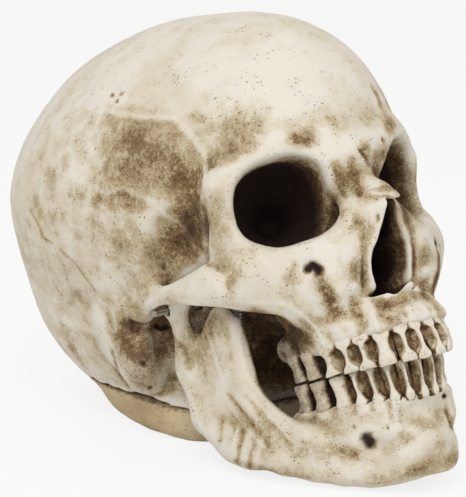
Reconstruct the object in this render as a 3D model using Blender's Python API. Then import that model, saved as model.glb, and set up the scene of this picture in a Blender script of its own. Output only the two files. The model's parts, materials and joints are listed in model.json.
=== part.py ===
# Anatomical skull model: a hollow cast cranium with a closing base panel, a
# lower jaw that swings on two pins against two coil springs, and 32 teeth.
#
# The skull is laid out upright on the line through both ear openings, with +X
# to its left, +Y to its back and +Z up. stand() then leans it back until it
# rests on the lower border of the jaw and on the base panel.

import math

import bmesh
import bpy
import numpy as np
from mathutils import Euler, Matrix, Vector

# Overall sizes of the head: the three of the vault, and of face and jaw the
# breadth across the outer rims of the orbits, the depth from the ear line to
# the front teeth, and the height from the brow to the upper teeth
VAULT_HALF_BREADTH = 0.075
EAR_TO_BACK = 0.100
EAR_TO_CROWN = 0.110
FACE_BREADTH = 0.100
FACE_DEPTH = 0.100
FACE_HEIGHT = 0.100

# How it stands: lean backwards, height of the ear line, and its set-back
LEAN = math.radians(25.5)
EAR_HEIGHT = 0.0597
EAR_SETBACK = 0.0011

# Half thicknesses of the bars and plates of bone
BROW_HALF = 0.0052
RIM_HALF = 0.0048
NASAL_HALF = 0.0062
NASAL_SIDE_HALF = 0.0055
LOWER_RIM_HALF = 0.0060
CHEEK_ARCH_HALF = 0.0045
BUTTRESS_HALF = 0.0060
WING_HALF = 0.0050
UPPER_RIDGE_HALF = 0.0060
LOWER_RIDGE_HALF = 0.0055
JAW_BODY_HALF = 0.0062
RAMUS_HALF = 0.0042
CORONOID_HALF = 0.0060
NECK_HALF = 0.0055
ANGLE_HALF = 0.0050
OBLIQUE_HALF = 0.0048

# Bores, hollows and the wall of the casting
ORBIT_APEX_BORE = 0.0140
NOSE_BORE = 0.0112
EAR_BORE = 0.0034
CAST_WALL = 0.0070
FORAMEN_RADIUS = 0.0170
SEAM_HEIGHT = 0.0150

# Widths over which neighbouring masses flow into each other
BROAD = 0.015
SOFT = 0.008
FIRM = 0.0055
CRISP = 0.003

# Fits: the gap between seated pieces, and how far a cutter overruns
GAP = 0.0003
OVERRUN = 0.002

# Hinge of the jaw: place of its pins in the upright skull, pin and its reach
HINGE_DEPTH_SHARE = 0.12
HINGE_DROP_SHARE = 0.06
HINGE_DEPTH = HINGE_DEPTH_SHARE * FACE_DEPTH
HINGE_DROP = HINGE_DROP_SHARE * FACE_HEIGHT
PIN_RADIUS = 0.0015
PIN_BEVEL_SHARE = 0.25
PIN_INNER_SHARE = 0.33
PIN_OUTER_SHARE = 0.60
PIN_INNER = PIN_INNER_SHARE * FACE_BREADTH
PIN_OUTER = PIN_OUTER_SHARE * FACE_BREADTH

# Springs of the jaw and the screws that hold them, standing upright
SPRING_OFFSET_SHARE = 0.35
SPRING_BACK_SHARE = -0.36
SPRING_OFFSET = SPRING_OFFSET_SHARE * FACE_BREADTH
SPRING_BACK = SPRING_BACK_SHARE * FACE_DEPTH
SPRING_TOP = 0.0080
SPRING_LENGTH = 0.0280
SPRING_RADIUS = 0.0022
WIRE_RADIUS = 0.0004
WIRE_RUN_SHARE = 4.0
SPRING_CURLS = 9
CURL_POINTS = 8
SCREW_RADIUS = 0.0012
SCREW_HEAD_RADIUS = 0.0026
SCREW_HEAD_LENGTH = 0.0014
UPPER_SCREW_REACH = 0.0190
LOWER_SCREW_REACH = 0.0105

# Teeth: root in its socket, straight neck, and the heights of the tooth rows
ROOT_LENGTH = 0.0070
NECK_LENGTH = 0.0010
UPPER_GUM_SHARE = 0.388
UPPER_EDGE_FRONT_SHARE = 0.524
UPPER_EDGE_BACK_SHARE = 0.482
LOWER_GUM_FRONT_SHARE = 0.655
LOWER_GUM_BACK_SHARE = 0.585
UPPER_GUM = UPPER_GUM_SHARE * FACE_HEIGHT
UPPER_EDGE_FRONT = UPPER_EDGE_FRONT_SHARE * FACE_HEIGHT
UPPER_EDGE_BACK = UPPER_EDGE_BACK_SHARE * FACE_HEIGHT
LOWER_GUM_FRONT = LOWER_GUM_FRONT_SHARE * FACE_HEIGHT
LOWER_GUM_BACK = LOWER_GUM_BACK_SHARE * FACE_HEIGHT
BITE_GAP = 0.0006
TOOTH_CLEARANCE = 0.0008
TOOTH_SIDES = 8
TOOTH_ROUNDNESS_SHARE = 0.8
TANGENT_SHARE = 0.085

# Fineness of the castings, and how their points are settled on to the skin
VOXEL = 0.0024
ROUGH_VOXEL = 0.0030
SETTLING_ROUNDS = 6
CRANIUM_FACES = 5800
MANDIBLE_FACES = 2100
CUTTER_SIDES = 12
CAVITY_SEGMENTS = 20
CAVITY_RINGS = 12
SEED_STEP_SHARE = 0.5
ROUNDING_SHARE = 0.98
NUDGE_SHARE = 0.02
LEAST_STEEPNESS_SHARE = 0.15
SLIDE_SHARE = 0.9
EVENING_SHARE = 0.5
TINY = 1e-9
SHARP_ANGLE = math.radians(60)

# Aged casting, base, enamel and steel: linear red, green, blue and alpha, then
# roughness and metallic
BONE = ((0.62, 0.54, 0.42, 1.0), 0.6, 0.0)
TAN = ((0.50, 0.41, 0.28, 1.0), 0.65, 0.0)
ENAMEL = ((0.60, 0.51, 0.36, 1.0), 0.45, 0.0)
STEEL = ((0.55, 0.55, 0.56, 1.0), 0.3, 1.0)

VAULT = np.array([VAULT_HALF_BREADTH, EAR_TO_BACK, EAR_TO_CROWN])
FACE = np.array([FACE_BREADTH, FACE_DEPTH, FACE_HEIGHT])

# Masses as shares of the vault: centre and radii
VAULT_SHARES = (
    ((0, 0.25, 0.46), (1.0, 0.765, 0.59)),
    ((0, -0.06, 0.44), (0.845, 0.725, 0.53)),
    ((0, -0.38, 0.40), (0.605, 0.505, 0.485)),
    ((0, 0.54, 0.13), (0.845, 0.465, 0.42)),
    ((0.587, 0.02, 0.236), (0.333, 0.44, 0.31)),
    ((0, 0.30, -0.07), (0.78, 0.55, 0.30)),
)
CAVITY_SHARES = ((0, 0.20, 0.455), (0.93, 0.77, 0.49))

# Base panel in the standing skull: middle, half sizes and squareness
PANEL_BACK = 0.0180
PANEL_RISE = 0.0105
PANEL_HALF = (0.0465, 0.0455, 0.0160)
PANEL_POWER = 3.0

# Masses as shares of the face: centre, radii, turn in degrees and squareness
ROUND = 2.0
ROUND_MASS_SHARES = {
    "glabella": ((0, -0.815, 0.28), (0.17, 0.10, 0.13)),
    "cheek": ((0.37, -0.595, -0.07), (0.12, 0.11, 0.11)),
    "maxilla": ((0.205, -0.64, -0.15), (0.185, 0.20, 0.18)),
    "middle": ((0, -0.34, -0.08), (0.22, 0.30, 0.20)),
    "mastoid": ((0.54, 0.17, -0.09), (0.11, 0.13, 0.20)),
    "mastoid_tip": ((0.50, 0.20, -0.25), (0.08, 0.08, 0.09)),
    "ear": ((0.58, 0.045, -0.02), (0.06, 0.09, 0.08)),
    "nasal_spine": ((0, -0.93, -0.27), (0.03, 0.06, 0.03)),
    "ramus_room": ((0.51, -0.26, -0.22), (0.15, 0.30, 0.25)),
    "condyle_room": ((0.495, -0.12, -0.07), (0.115, 0.08, 0.09)),
    "ramus_swing": ((0.475, -0.03, -0.24), (0.085, 0.12, 0.20)),
    "fossa": ((0.60, -0.42, 0.06), (0.13, 0.20, 0.22)),
    "cheek_hollow": ((0.415, -0.52, -0.32), (0.10, 0.13, 0.15)),
    "orbit": ((0.292, -0.71, 0.185), (0.175, 0.24, 0.165)),
    "palate": ((0, -0.55, -0.42), (0.16, 0.34, 0.13)),
    "condyle": ((0.485, -0.12, -0.06), (0.08, 0.046, 0.044)),
    "chin": ((0, -0.84, -0.87), (0.11, 0.065, 0.075)),
    "chin_corner": ((0.08, -0.765, -0.885), (0.055, 0.055, 0.05)),
}
ORBIT_TURN = 20.0
ORBIT_POWER = 2.6
MASTOID_TURN = -12.0

# Bars as shares of the face: points, then girths as shares of their own half
BAR_SHARES = {
    "brow": (((0.05, -0.86, 0.27), (0.16, -0.85, 0.35), (0.28, -0.78, 0.38),
              (0.385, -0.675, 0.355), (0.47, -0.585, 0.30)), (1.15, 1.0, 0.95, 0.9, 0.95)),
    "outer_rim": (((0.47, -0.585, 0.30), (0.465, -0.58, 0.20), (0.455, -0.58, 0.09), (0.415, -0.60, -0.03)),
                  (1.05, 0.95, 1.15, 1.65)),
    "nasal_side": (((0.06, -0.855, 0.24), (0.09, -0.87, 0.12), (0.14, -0.835, -0.04), (0.20, -0.77, -0.15)),
                   (1.0, 0.92, 1.1, 1.45)),
    "nasal": (((0, -0.835, 0.28), (0, -0.885, 0.18), (0, -0.97, 0.10)), (1.2, 1.05, 0.72)),
    "lower_rim": (((0.18, -0.81, -0.04), (0.28, -0.765, -0.04), (0.365, -0.66, -0.04)), (1.0, 1.0, 1.05)),
    "buttress": (((0.37, -0.62, -0.14), (0.31, -0.635, -0.23), (0.275, -0.64, -0.33)), (1.15, 1.0, 0.75)),
    "wing": (((0.43, -0.50, 0.30), (0.42, -0.50, 0.14), (0.38, -0.48, 0.0)), (1.2, 1.0, 1.0)),
    "pterygoid": (((0.13, -0.36, -0.16), (0.14, -0.38, -0.34)), (1.2, 0.8)),
    "cheek_arch": (((0.405, -0.585, -0.08), (0.48, -0.535, -0.06), (0.555, -0.48, -0.04),
                    (0.595, -0.38, -0.03), (0.61, -0.26, -0.015), (0.605, -0.12, -0.005), (0.56, 0.04, 0.02)),
                   (2.45, 2.2, 1.8, 1.3, 1.0, 1.0, 1.4)),
    "orbit_apex": (((0.28, -0.66, 0.18), (0.16, -0.42, 0.15)), (1.0, 0.36)),
    "nose_front": (((0, -1.04, 0.03), (0, -0.98, -0.08), (0, -0.96, -0.15)), (0.45, 0.85, 1.03)),
    "nose_channel": (((0, -0.96, -0.13), (0, -0.62, -0.13)), (1.02, 0.8)),
    "ear_opening": (((0.70, 0.04, -0.08), (0.50, 0.02, -0.07)), (1.05, 0.9)),
    "coronoid": (((0.44, -0.33, -0.32), (0.44, -0.335, -0.20), (0.44, -0.33, -0.09)), (1.2, 1.1, 0.6)),
    "neck": (((0.48, -0.10, -0.30), (0.485, -0.12, -0.10)), (1.4, 0.9)),
    "angle": (((0.485, -0.10, -0.51), (0.48, -0.16, -0.61), (0.455, -0.26, -0.685)), (1.0, 1.1, 1.0)),
    "oblique": (((0.43, -0.365, -0.50), (0.385, -0.44, -0.62), (0.32, -0.54, -0.72)), (1.0, 1.0, 0.8)),
}
FLAT_BAR_SHARES = (1.5, 1.0, 1.0)
CHEEK_ARCH_FLAT_SHARES = (1.55, 1.0, 0.95)
CORONOID_FLAT_SHARES = (1.9, 1.0, 0.9)
NOSE_FLAT_SHARES = (1.0, 0.7, 1.0)
NASAL_FLAT_SHARES = (0.8, 1.0, 1.05)
EVEN_BAR_SHARES = (1.0, 1.0, 1.0)

# Walls as shares of the face: plan points, lower and upper edges
UPPER_ARCH_SHARES = ((0, -0.94), (0.083, -0.92), (0.15, -0.86), (0.20, -0.77), (0.228, -0.665),
                     (0.242, -0.55), (0.245, -0.44))
LOWER_ARCH_SHARES = ((0, -0.865), (0.07, -0.843), (0.127, -0.79), (0.175, -0.713), (0.208, -0.615),
                     (0.232, -0.515), (0.25, -0.42))
UPPER_RIDGE_TOP_SHARE = -0.29
LOWER_RIDGE_ROOT_SHARES = (-0.775, -0.775, -0.775, -0.77, -0.76, -0.75, -0.70)
JAW_BODY_SHARES = ((0, -0.825), (0.06, -0.785), (0.115, -0.71), (0.175, -0.635), (0.24, -0.56), (0.31, -0.48),
                   (0.375, -0.395), (0.42, -0.30), (0.46, -0.20))
JAW_BORDER_SHARES = (-0.955, -0.96, -0.965, -0.955, -0.92, -0.872, -0.82, -0.765, -0.71)
JAW_BODY_TOP_SHARES = (-0.755, -0.75, -0.74, -0.73, -0.72, -0.695, -0.66, -0.60, -0.56)
RAMUS_SHARES = ((0.43, -0.37), (0.445, -0.29), (0.46, -0.19), (0.48, -0.09))
RAMUS_LOW_SHARES = (-0.66, -0.73, -0.69, -0.56)
RAMUS_HIGH_SHARES = (-0.17, -0.14, -0.19, -0.25)

# Teeth from the middle line outwards: place along the half row, depth of the
# neck and of the biting edge from cheek to tongue, how far the edge of an upper
# tooth leans out, and width of neck and edge
TOOTH_NAMES = ("central_incisor", "lateral_incisor", "canine", "first_premolar", "second_premolar",
               "first_molar", "second_molar", "third_molar")
UPPER_PLACE_SHARES = (0.055, 0.145, 0.26, 0.38, 0.49, 0.62, 0.785, 0.92)
LOWER_PLACE_SHARES = (0.045, 0.13, 0.22, 0.33, 0.44, 0.575, 0.75, 0.91)
NECK_DEPTHS = (0.0060, 0.0060, 0.0068, 0.0070, 0.0070, 0.0078, 0.0078, 0.0074)
EDGE_DEPTHS = (0.0024, 0.0024, 0.0034, 0.0062, 0.0064, 0.0082, 0.0082, 0.0074)
NECK_WIDTH_SHARE = 0.62
FLARES = (0.0026, 0.0026, 0.0022, 0.0014, 0.0008, 0.0004, 0.0, 0.0)
BELLY_WIDTH_SHARE = 0.94
BELLY_HEIGHT_SHARE = 0.55
ROOT_TIP_SHARE = 0.62


class Mass:
    """An ellipsoid, or with a higher power a squarer lump, of bone or of hollow."""

    def __init__(self, centre, radii, turn=(0, 0, 0), power=ROUND, blend=SOFT, cut=False):
        self.centre = np.array(centre, float)
        self.radii = np.array(radii, float)
        self.turn = Euler([math.radians(angle) for angle in turn]).to_matrix()
        self.axes = np.array(self.turn)
        self.power = power
        self.blend = blend
        self.cut = cut
        self.paired = abs(self.centre[0]) > 0

    def distance(self, points):
        """Distance of each point from the surface, negative inside."""
        local = np.abs((points - self.centre) @ self.axes / self.radii) + TINY
        reach = (local ** self.power).sum(1) ** (1 / self.power)
        slope = (local / reach[:, None]) ** (self.power - 1) / self.radii
        return (reach - 1) / np.sqrt((slope ** 2).sum(1))

    def seeds(self):
        """Placements of round bodies that fill the mass."""
        return [Matrix.Translation(self.centre) @ self.turn.to_4x4() @ Matrix.Diagonal((*self.radii, 1))]


class Bar:
    """A chain of tapered round bars; flat above 1 on an axis thins the bar along it."""

    def __init__(self, points, girths, flat=EVEN_BAR_SHARES, blend=FIRM, cut=False):
        self.points = np.array(points, float)
        self.girths = np.array(girths, float)
        self.flat = np.array(flat, float)
        self.blend = blend
        self.cut = cut
        self.paired = np.abs(self.points[:, 0]).max() > 0

    def stretches(self, points):
        """Both ends and both girths of each stretch of the chain."""
        return zip(points[:-1], points[1:], self.girths[:-1], self.girths[1:])

    def distance(self, points):
        """Distance of each point from the surface, negative inside."""
        spot = points * self.flat
        ends = self.points * self.flat
        best = np.full(len(points), np.inf)
        for start, end, thick, thin in self.stretches(ends):
            run = end - start
            along = np.clip(((spot - start) @ run) / (run @ run), 0, 1)
            gap = np.linalg.norm(spot - start - along[:, None] * run, axis=1)
            best = np.minimum(best, gap - thick - along * (thin - thick))
        return best / self.flat.mean()

    def seeds(self):
        """Placements of round bodies that fill the bar."""
        places = []
        for start, end, thick, thin in self.stretches(self.points):
            steps = max(2, int(np.linalg.norm(end - start) / (min(thick, thin) * SEED_STEP_SHARE)))
            for step in range(steps + 1):
                along = step / steps
                radii = (thick + along * (thin - thick)) / self.flat
                place = Matrix.Translation(start + along * (end - start))
                places.append(place @ Matrix.Diagonal((*radii, 1)))
        return places


class Wall:
    """An upright wall along a path on the plan, with its own lower and upper edge."""

    def __init__(self, path, low, high, half, rounding, blend=FIRM):
        self.path = np.array(path, float)
        self.low = np.array(low, float) * np.ones(len(path))
        self.high = np.array(high, float) * np.ones(len(path))
        self.half = half
        self.rounding = min(rounding, half * ROUNDING_SHARE)
        self.blend = blend
        self.cut = False
        self.paired = True

    def distance(self, points):
        """Distance of each point from the surface, negative inside."""
        best = np.full(len(points), np.inf)
        for near, far in zip(range(len(self.path) - 1), range(1, len(self.path))):
            start = self.path[near]
            run = self.path[far] - start
            along = np.clip(((points[:, :2] - start) @ run) / (run @ run), 0, 1)
            side = np.linalg.norm(points[:, :2] - start - along[:, None] * run, axis=1) - self.half
            low = self.low[near] + along * (self.low[far] - self.low[near])
            high = self.high[near] + along * (self.high[far] - self.high[near])
            tall = np.abs(points[:, 2] - (low + high) / 2) - (high - low) / 2
            side = side + self.rounding
            tall = tall + self.rounding
            outside = np.hypot(np.maximum(side, 0), np.maximum(tall, 0))
            best = np.minimum(best, outside + np.minimum(np.maximum(side, tall), 0) - self.rounding)
        return best

    def seeds(self):
        """Placements of round bodies that fill the wall."""
        places = []
        for near, far in zip(range(len(self.path) - 1), range(1, len(self.path))):
            run = self.path[far] - self.path[near]
            steps = max(2, int(np.linalg.norm(run) / (self.half * SEED_STEP_SHARE)))
            for step in range(steps + 1):
                along = step / steps
                spot = self.path[near] + along * run
                low = self.low[near] + along * (self.low[far] - self.low[near])
                high = self.high[near] + along * (self.high[far] - self.high[near])
                place = Matrix.Translation((spot[0], spot[1], (low + high) / 2))
                places.append(place @ Matrix.Diagonal((self.half, self.half, (high - low) / 2, 1)))
        return places


def vault_mass(row, blend=BROAD):
    """A mass from its shares of the vault."""
    centre, radii = row
    return Mass(np.array(centre) * VAULT, np.array(radii) * VAULT, blend=blend)


def face_mass(name, turn=(0, 0, 0), power=ROUND, blend=SOFT, cut=False):
    """A mass from its shares of the face."""
    centre, radii = ROUND_MASS_SHARES[name]
    return Mass(np.array(centre) * FACE, np.array(radii) * FACE, turn, power, blend, cut)


def face_bar(name, half, flat=EVEN_BAR_SHARES, blend=FIRM, cut=False):
    """A bar from its shares of the face and its own half thickness."""
    points, girths = BAR_SHARES[name]
    return Bar(np.array(points) * FACE, np.array(girths) * half, flat, blend, cut)


def plan(shares):
    """Points on the plan from their shares of the face."""
    return np.array(shares) * FACE[:2]


def level(shares):
    """Heights from their shares of the face."""
    return np.array(shares) * FACE_HEIGHT


def lower_gum(path):
    """Height of the lower gum along the tooth row, from the front to the back."""
    along = row_lengths(path)
    return -(LOWER_GUM_FRONT + along / along[-1] * (LOWER_GUM_BACK - LOWER_GUM_FRONT))


def row_lengths(path):
    """Distance of each point of a path from its start."""
    return np.concatenate(([0.0], np.cumsum(np.linalg.norm(np.diff(path, axis=0), axis=1))))


def panel_mass():
    """The base panel's mass, square to the standing skull."""
    upright = lean_back(Vector((0, PANEL_BACK, PANEL_RISE - EAR_HEIGHT)), -LEAN)
    return Mass(upright, PANEL_HALF, (math.degrees(LEAN), 0, 0), PANEL_POWER, SOFT)


def cranium_steps():
    """Masses and hollows of the cranium, in the order they are put on or cut."""
    steps = [vault_mass(row) for row in VAULT_SHARES]
    steps.append(panel_mass())
    steps.append(face_mass("ramus_room", blend=FIRM, cut=True))
    steps.append(face_mass("condyle_room", blend=CRISP, cut=True))
    steps.append(face_mass("fossa", cut=True))
    steps.append(face_bar("wing", WING_HALF))
    steps.append(face_mass("glabella"))
    steps.append(face_bar("brow", BROW_HALF, blend=SOFT))
    steps.append(face_bar("outer_rim", RIM_HALF))
    steps.append(face_mass("cheek"))
    steps.append(face_bar("nasal_side", NASAL_SIDE_HALF))
    steps.append(face_bar("nasal", NASAL_HALF, NASAL_FLAT_SHARES))
    steps.append(face_bar("lower_rim", LOWER_RIM_HALF, blend=SOFT))
    steps.append(face_mass("maxilla"))
    steps.append(Wall(plan(UPPER_ARCH_SHARES), -UPPER_GUM, level(UPPER_RIDGE_TOP_SHARE),
                      UPPER_RIDGE_HALF, FIRM, SOFT))
    steps.append(face_bar("buttress", BUTTRESS_HALF))
    steps.append(face_mass("middle"))
    steps.append(face_bar("pterygoid", WING_HALF, FLAT_BAR_SHARES))
    steps.append(face_mass("mastoid", turn=(MASTOID_TURN, 0, 0)))
    steps.append(face_mass("mastoid_tip", blend=FIRM))
    steps.append(face_mass("ear", blend=FIRM))
    steps.append(face_mass("orbit", (0, 0, ORBIT_TURN), ORBIT_POWER, CRISP, True))
    steps.append(face_bar("orbit_apex", ORBIT_APEX_BORE, cut=True))
    steps.append(face_bar("nose_front", NOSE_BORE, NOSE_FLAT_SHARES, CRISP, True))
    steps.append(face_bar("nose_channel", NOSE_BORE, blend=CRISP, cut=True))
    steps.append(face_mass("palate", blend=FIRM, cut=True))
    steps.append(face_mass("cheek_hollow", blend=FIRM, cut=True))
    steps.append(face_mass("ramus_swing", blend=CRISP, cut=True))
    steps.append(face_bar("ear_opening", EAR_BORE, blend=CRISP, cut=True))
    steps.append(face_bar("cheek_arch", CHEEK_ARCH_HALF, CHEEK_ARCH_FLAT_SHARES))
    steps.append(face_mass("nasal_spine", blend=CRISP))
    return steps


def mandible_steps():
    """Masses of the lower jaw."""
    arch = plan(LOWER_ARCH_SHARES)
    return [
        Wall(plan(JAW_BODY_SHARES), level(JAW_BORDER_SHARES), level(JAW_BODY_TOP_SHARES),
             JAW_BODY_HALF, FIRM, SOFT),
        Wall(arch, level(LOWER_RIDGE_ROOT_SHARES), lower_gum(arch), LOWER_RIDGE_HALF, CRISP, SOFT),
        Wall(plan(RAMUS_SHARES), level(RAMUS_LOW_SHARES), level(RAMUS_HIGH_SHARES), RAMUS_HALF, CRISP),
        face_bar("coronoid", CORONOID_HALF, CORONOID_FLAT_SHARES),
        face_bar("neck", NECK_HALF, FLAT_BAR_SHARES),
        face_mass("condyle", blend=CRISP),
        face_mass("chin", blend=FIRM),
        face_mass("chin_corner", blend=FIRM),
        face_bar("angle", ANGLE_HALF),
        face_bar("oblique", OBLIQUE_HALF),
    ]


def blended(first, second, width):
    """Smooth minimum of two distances."""
    share = np.clip((1 + (second - first) / width) / 2, 0, 1)
    return second + (first - second) * share - width * share * (1 - share)


def skin(steps, points):
    """Distance of each point from the skin of all steps, both sides alike."""
    folded = points.copy()
    folded[:, 0] = np.abs(folded[:, 0])
    total = None
    for step in steps:
        distance = step.distance(folded)
        if total is None:
            total = distance
        elif step.cut:
            total = -blended(-total, distance, step.blend)
        else:
            total = blended(total, distance, step.blend)
    return total


def lean_back(point, angle):
    """Turns a point about the ear line, face up."""
    return Matrix.Rotation(-angle, 3, "X") @ Vector(point)


def stand(point):
    """Place in the standing skull of a point of the upright one."""
    return lean_back(point, LEAN) + Vector((0, EAR_SETBACK, EAR_HEIGHT))


def new_object(name, bm):
    """Links a new object with the given mesh."""
    mesh = bpy.data.meshes.new(name)
    bm.to_mesh(mesh)
    bm.free()
    piece = bpy.data.objects.new(name, mesh)
    bpy.context.scene.collection.objects.link(piece)
    return piece


def bake(piece):
    """Replaces an object's mesh by what its modifiers make of it."""
    bpy.context.view_layer.update()
    graph = bpy.context.evaluated_depsgraph_get()
    mesh = bpy.data.meshes.new_from_object(piece.evaluated_get(graph))
    piece.modifiers.clear()
    piece.data = mesh
    return piece


def remesh(piece, size):
    """Fuses overlapping bodies into one even skin."""
    voxels = piece.modifiers.new("fuse", "REMESH")
    voxels.mode = "VOXEL"
    voxels.voxel_size = size
    voxels.adaptivity = 0
    return bake(piece)


def subtract(piece, cutter):
    """Cuts a closed body out of a piece."""
    cut = piece.modifiers.new("cut", "BOOLEAN")
    cut.operation = "DIFFERENCE"
    cut.object = cutter
    cut.solver = "EXACT"
    bake(piece)
    bpy.data.objects.remove(cutter)
    return piece


def seeded(name, steps, size):
    """Fuses the plain bodies of a run of steps, on both sides."""
    bm = bmesh.new()
    for step in steps:
        for side in (1, -1) if step.paired else (1,):
            for place in step.seeds():
                made = bmesh.ops.create_icosphere(bm, subdivisions=2, radius=1.0)
                flip = Matrix.Diagonal((side, 1, 1, 1))
                bmesh.ops.transform(bm, matrix=flip @ place, verts=made["verts"])
                if side < 0:
                    faces = {face for vert in made["verts"] for face in vert.link_faces}
                    bmesh.ops.reverse_faces(bm, faces=list(faces))
    return remesh(new_object(name, bm), size)


def rough_form(name, steps):
    """Puts on and cuts the plain bodies, run by run."""
    piece = None
    start = 0
    while start < len(steps):
        end = start
        while end < len(steps) and steps[end].cut == steps[start].cut:
            end += 1
        part = seeded(name, steps[start:end], ROUGH_VOXEL)
        if piece is None:
            piece = part
        elif steps[start].cut:
            subtract(piece, part)
        else:
            bm = bmesh.new()
            bm.from_mesh(piece.data)
            bm.from_mesh(part.data)
            bpy.data.objects.remove(part)
            bpy.data.objects.remove(piece)
            piece = remesh(new_object(name, bm), ROUGH_VOXEL)
        start = end
    return remesh(piece, VOXEL)


def settle(piece, steps):
    """Moves the points on to the flowing skin of the steps, and evens them out."""
    mesh = piece.data
    points = np.empty(len(mesh.vertices) * 3)
    mesh.vertices.foreach_get("co", points)
    points = points.reshape(-1, 3)
    edges = np.empty(len(mesh.edges) * 2, np.int64)
    mesh.edges.foreach_get("vertices", edges)
    edges = edges.reshape(-1, 2)
    valence = np.bincount(edges.ravel(), minlength=len(points)).astype(float)
    nudge = VOXEL * NUDGE_SHARE
    for turn in range(SETTLING_ROUNDS):
        height = skin(steps, points)
        slope = np.empty_like(points)
        for axis in range(3):
            shifted = points.copy()
            shifted[:, axis] += nudge
            slope[:, axis] = (skin(steps, shifted) - height) / nudge
        steep = (slope ** 2).sum(1) + TINY
        move = -(height / np.maximum(steep, LEAST_STEEPNESS_SHARE))[:, None] * slope
        length = np.linalg.norm(move, axis=1)
        points = points + move * np.minimum(1, VOXEL / (length + TINY))[:, None]
        if turn < SETTLING_ROUNDS - 2:
            mean = np.zeros_like(points)
            np.add.at(mean, edges[:, 0], points[edges[:, 1]])
            np.add.at(mean, edges[:, 1], points[edges[:, 0]])
            drift = mean / valence[:, None] - points
            normal = slope / np.sqrt(steep)[:, None]
            drift -= (drift * normal).sum(1)[:, None] * normal * SLIDE_SHARE
            points = points + drift * EVENING_SHARE
    mesh.vertices.foreach_set("co", points.ravel())
    mesh.update()
    return piece


def thin_out(piece, faces):
    """Reduces a piece to about so many triangles, fine where it curves."""
    count = sum(len(face.vertices) - 2 for face in piece.data.polygons)
    thin = piece.modifiers.new("thin", "DECIMATE")
    thin.ratio = min(1.0, faces / count)
    return bake(piece)


def keep_side(piece, height, above):
    """Cuts a piece by a level plane, keeps one side and closes it."""
    bm = bmesh.new()
    bm.from_mesh(piece.data)
    everything = bm.verts[:] + bm.edges[:] + bm.faces[:]
    bmesh.ops.bisect_plane(bm, geom=everything, plane_co=(0, 0, height), plane_no=(0, 0, 1),
                           clear_inner=above, clear_outer=not above)
    bmesh.ops.holes_fill(bm, edges=[edge for edge in bm.edges if edge.is_boundary], sides=0)
    bmesh.ops.triangulate(bm, faces=[face for face in bm.faces if len(face.verts) > 4])
    bmesh.ops.recalc_face_normals(bm, faces=bm.faces[:])
    bm.to_mesh(piece.data)
    bm.free()
    return piece


def raise_up(piece):
    """Moves the upright mesh of a piece to its standing place."""
    place = Matrix.Translation((0, EAR_SETBACK, EAR_HEIGHT)) @ Matrix.Rotation(-LEAN, 4, "X")
    piece.data.transform(place)
    piece.data.update()
    return piece


def turned(name, profile, sides=CUTTER_SIDES):
    """A body turned about Z from (radius, height) pairs that start and end on the axis."""
    bm = bmesh.new()
    verts = [bm.verts.new((radius, 0, height)) for radius, height in profile]
    edges = [bm.edges.new(pair) for pair in zip(verts[:-1], verts[1:])]
    bmesh.ops.spin(bm, geom=verts + edges, cent=(0, 0, 0), axis=(0, 0, 1), angle=math.tau, steps=sides,
                   use_merge=True, use_duplicate=False)
    bmesh.ops.remove_doubles(bm, verts=bm.verts[:], dist=GAP / 10)
    bmesh.ops.recalc_face_normals(bm, faces=bm.faces[:])
    return new_object(name, bm)


def lay_along_x(piece, side, start, height, depth):
    """Lays a turned body along X on one side, its foot at start from the middle plane."""
    place = Matrix.Translation((side * start, depth, height)) @ Matrix.Rotation(side * math.pi / 2, 4, "Y")
    piece.data.transform(place)
    return piece


def hinge_point():
    """Standing place of the hinge line: depth and height."""
    point = stand((0, -HINGE_DEPTH, -HINGE_DROP))
    return point.y, point.z


def pin_body(name, side, radius, inner, outer):
    """A pin on the hinge line between two distances from the middle plane."""
    depth, height = hinge_point()
    bevel = radius * PIN_BEVEL_SHARE
    profile = ((0, 0), (radius - bevel, 0), (radius, bevel), (radius, outer - inner - bevel),
               (radius - bevel, outer - inner), (0, outer - inner))
    return lay_along_x(turned(name, profile), side, inner, height, depth)


def spring_heights():
    """Heights of the two screws that hold a spring."""
    top = SPRING_TOP + EAR_HEIGHT
    return top, top - SPRING_LENGTH


def screw_body(name, side, upper, swell=0.0):
    """A screw across the spring's eye, head at the free end; swell makes its bore."""
    top, bottom = spring_heights()
    height = top if upper else bottom
    reach = UPPER_SCREW_REACH if upper else LOWER_SCREW_REACH
    neck = SPRING_RADIUS
    shaft = SCREW_RADIUS + swell
    length = reach + neck
    profile = [(0, -swell), (shaft, -swell), (shaft, length)]
    if not swell:
        profile += [(SCREW_HEAD_RADIUS, length), (SCREW_HEAD_RADIUS, length + SCREW_HEAD_LENGTH),
                    (0, length + SCREW_HEAD_LENGTH)]
    else:
        profile += [(0, length)]
    body = turned(name, profile)
    depth = SPRING_BACK + EAR_SETBACK
    if upper:
        return lay_along_x(body, side, SPRING_OFFSET - reach, height, depth)
    body.data.transform(Matrix.Rotation(math.pi, 4, "Y"))
    return lay_along_x(body, side, SPRING_OFFSET + reach, height, depth)


def spring_points(side):
    """The middle line of a spring: straight run, curls, straight run."""
    top, bottom = spring_heights()
    clear = SCREW_RADIUS + GAP + WIRE_RADIUS
    wire = 2 * WIRE_RADIUS
    start = bottom + clear
    end = top - clear
    run = WIRE_RADIUS * WIRE_RUN_SHARE
    centre = Vector((side * SPRING_OFFSET, SPRING_BACK + EAR_SETBACK, 0))
    points = [centre + Vector((0, 0, start)), centre + Vector((0, 0, start + run))]
    count = SPRING_CURLS * CURL_POINTS
    low = start + run + wire
    high = end - run - wire
    for step in range(count + 1):
        angle = math.tau * step / CURL_POINTS
        height = low + (high - low) * step / count
        swing = Vector((math.cos(angle), math.sin(angle), 0)) * SPRING_RADIUS
        points.append(centre + swing + Vector((0, 0, height)))
    points += [centre + Vector((0, 0, end - run)), centre + Vector((0, 0, end))]
    return points


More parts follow.
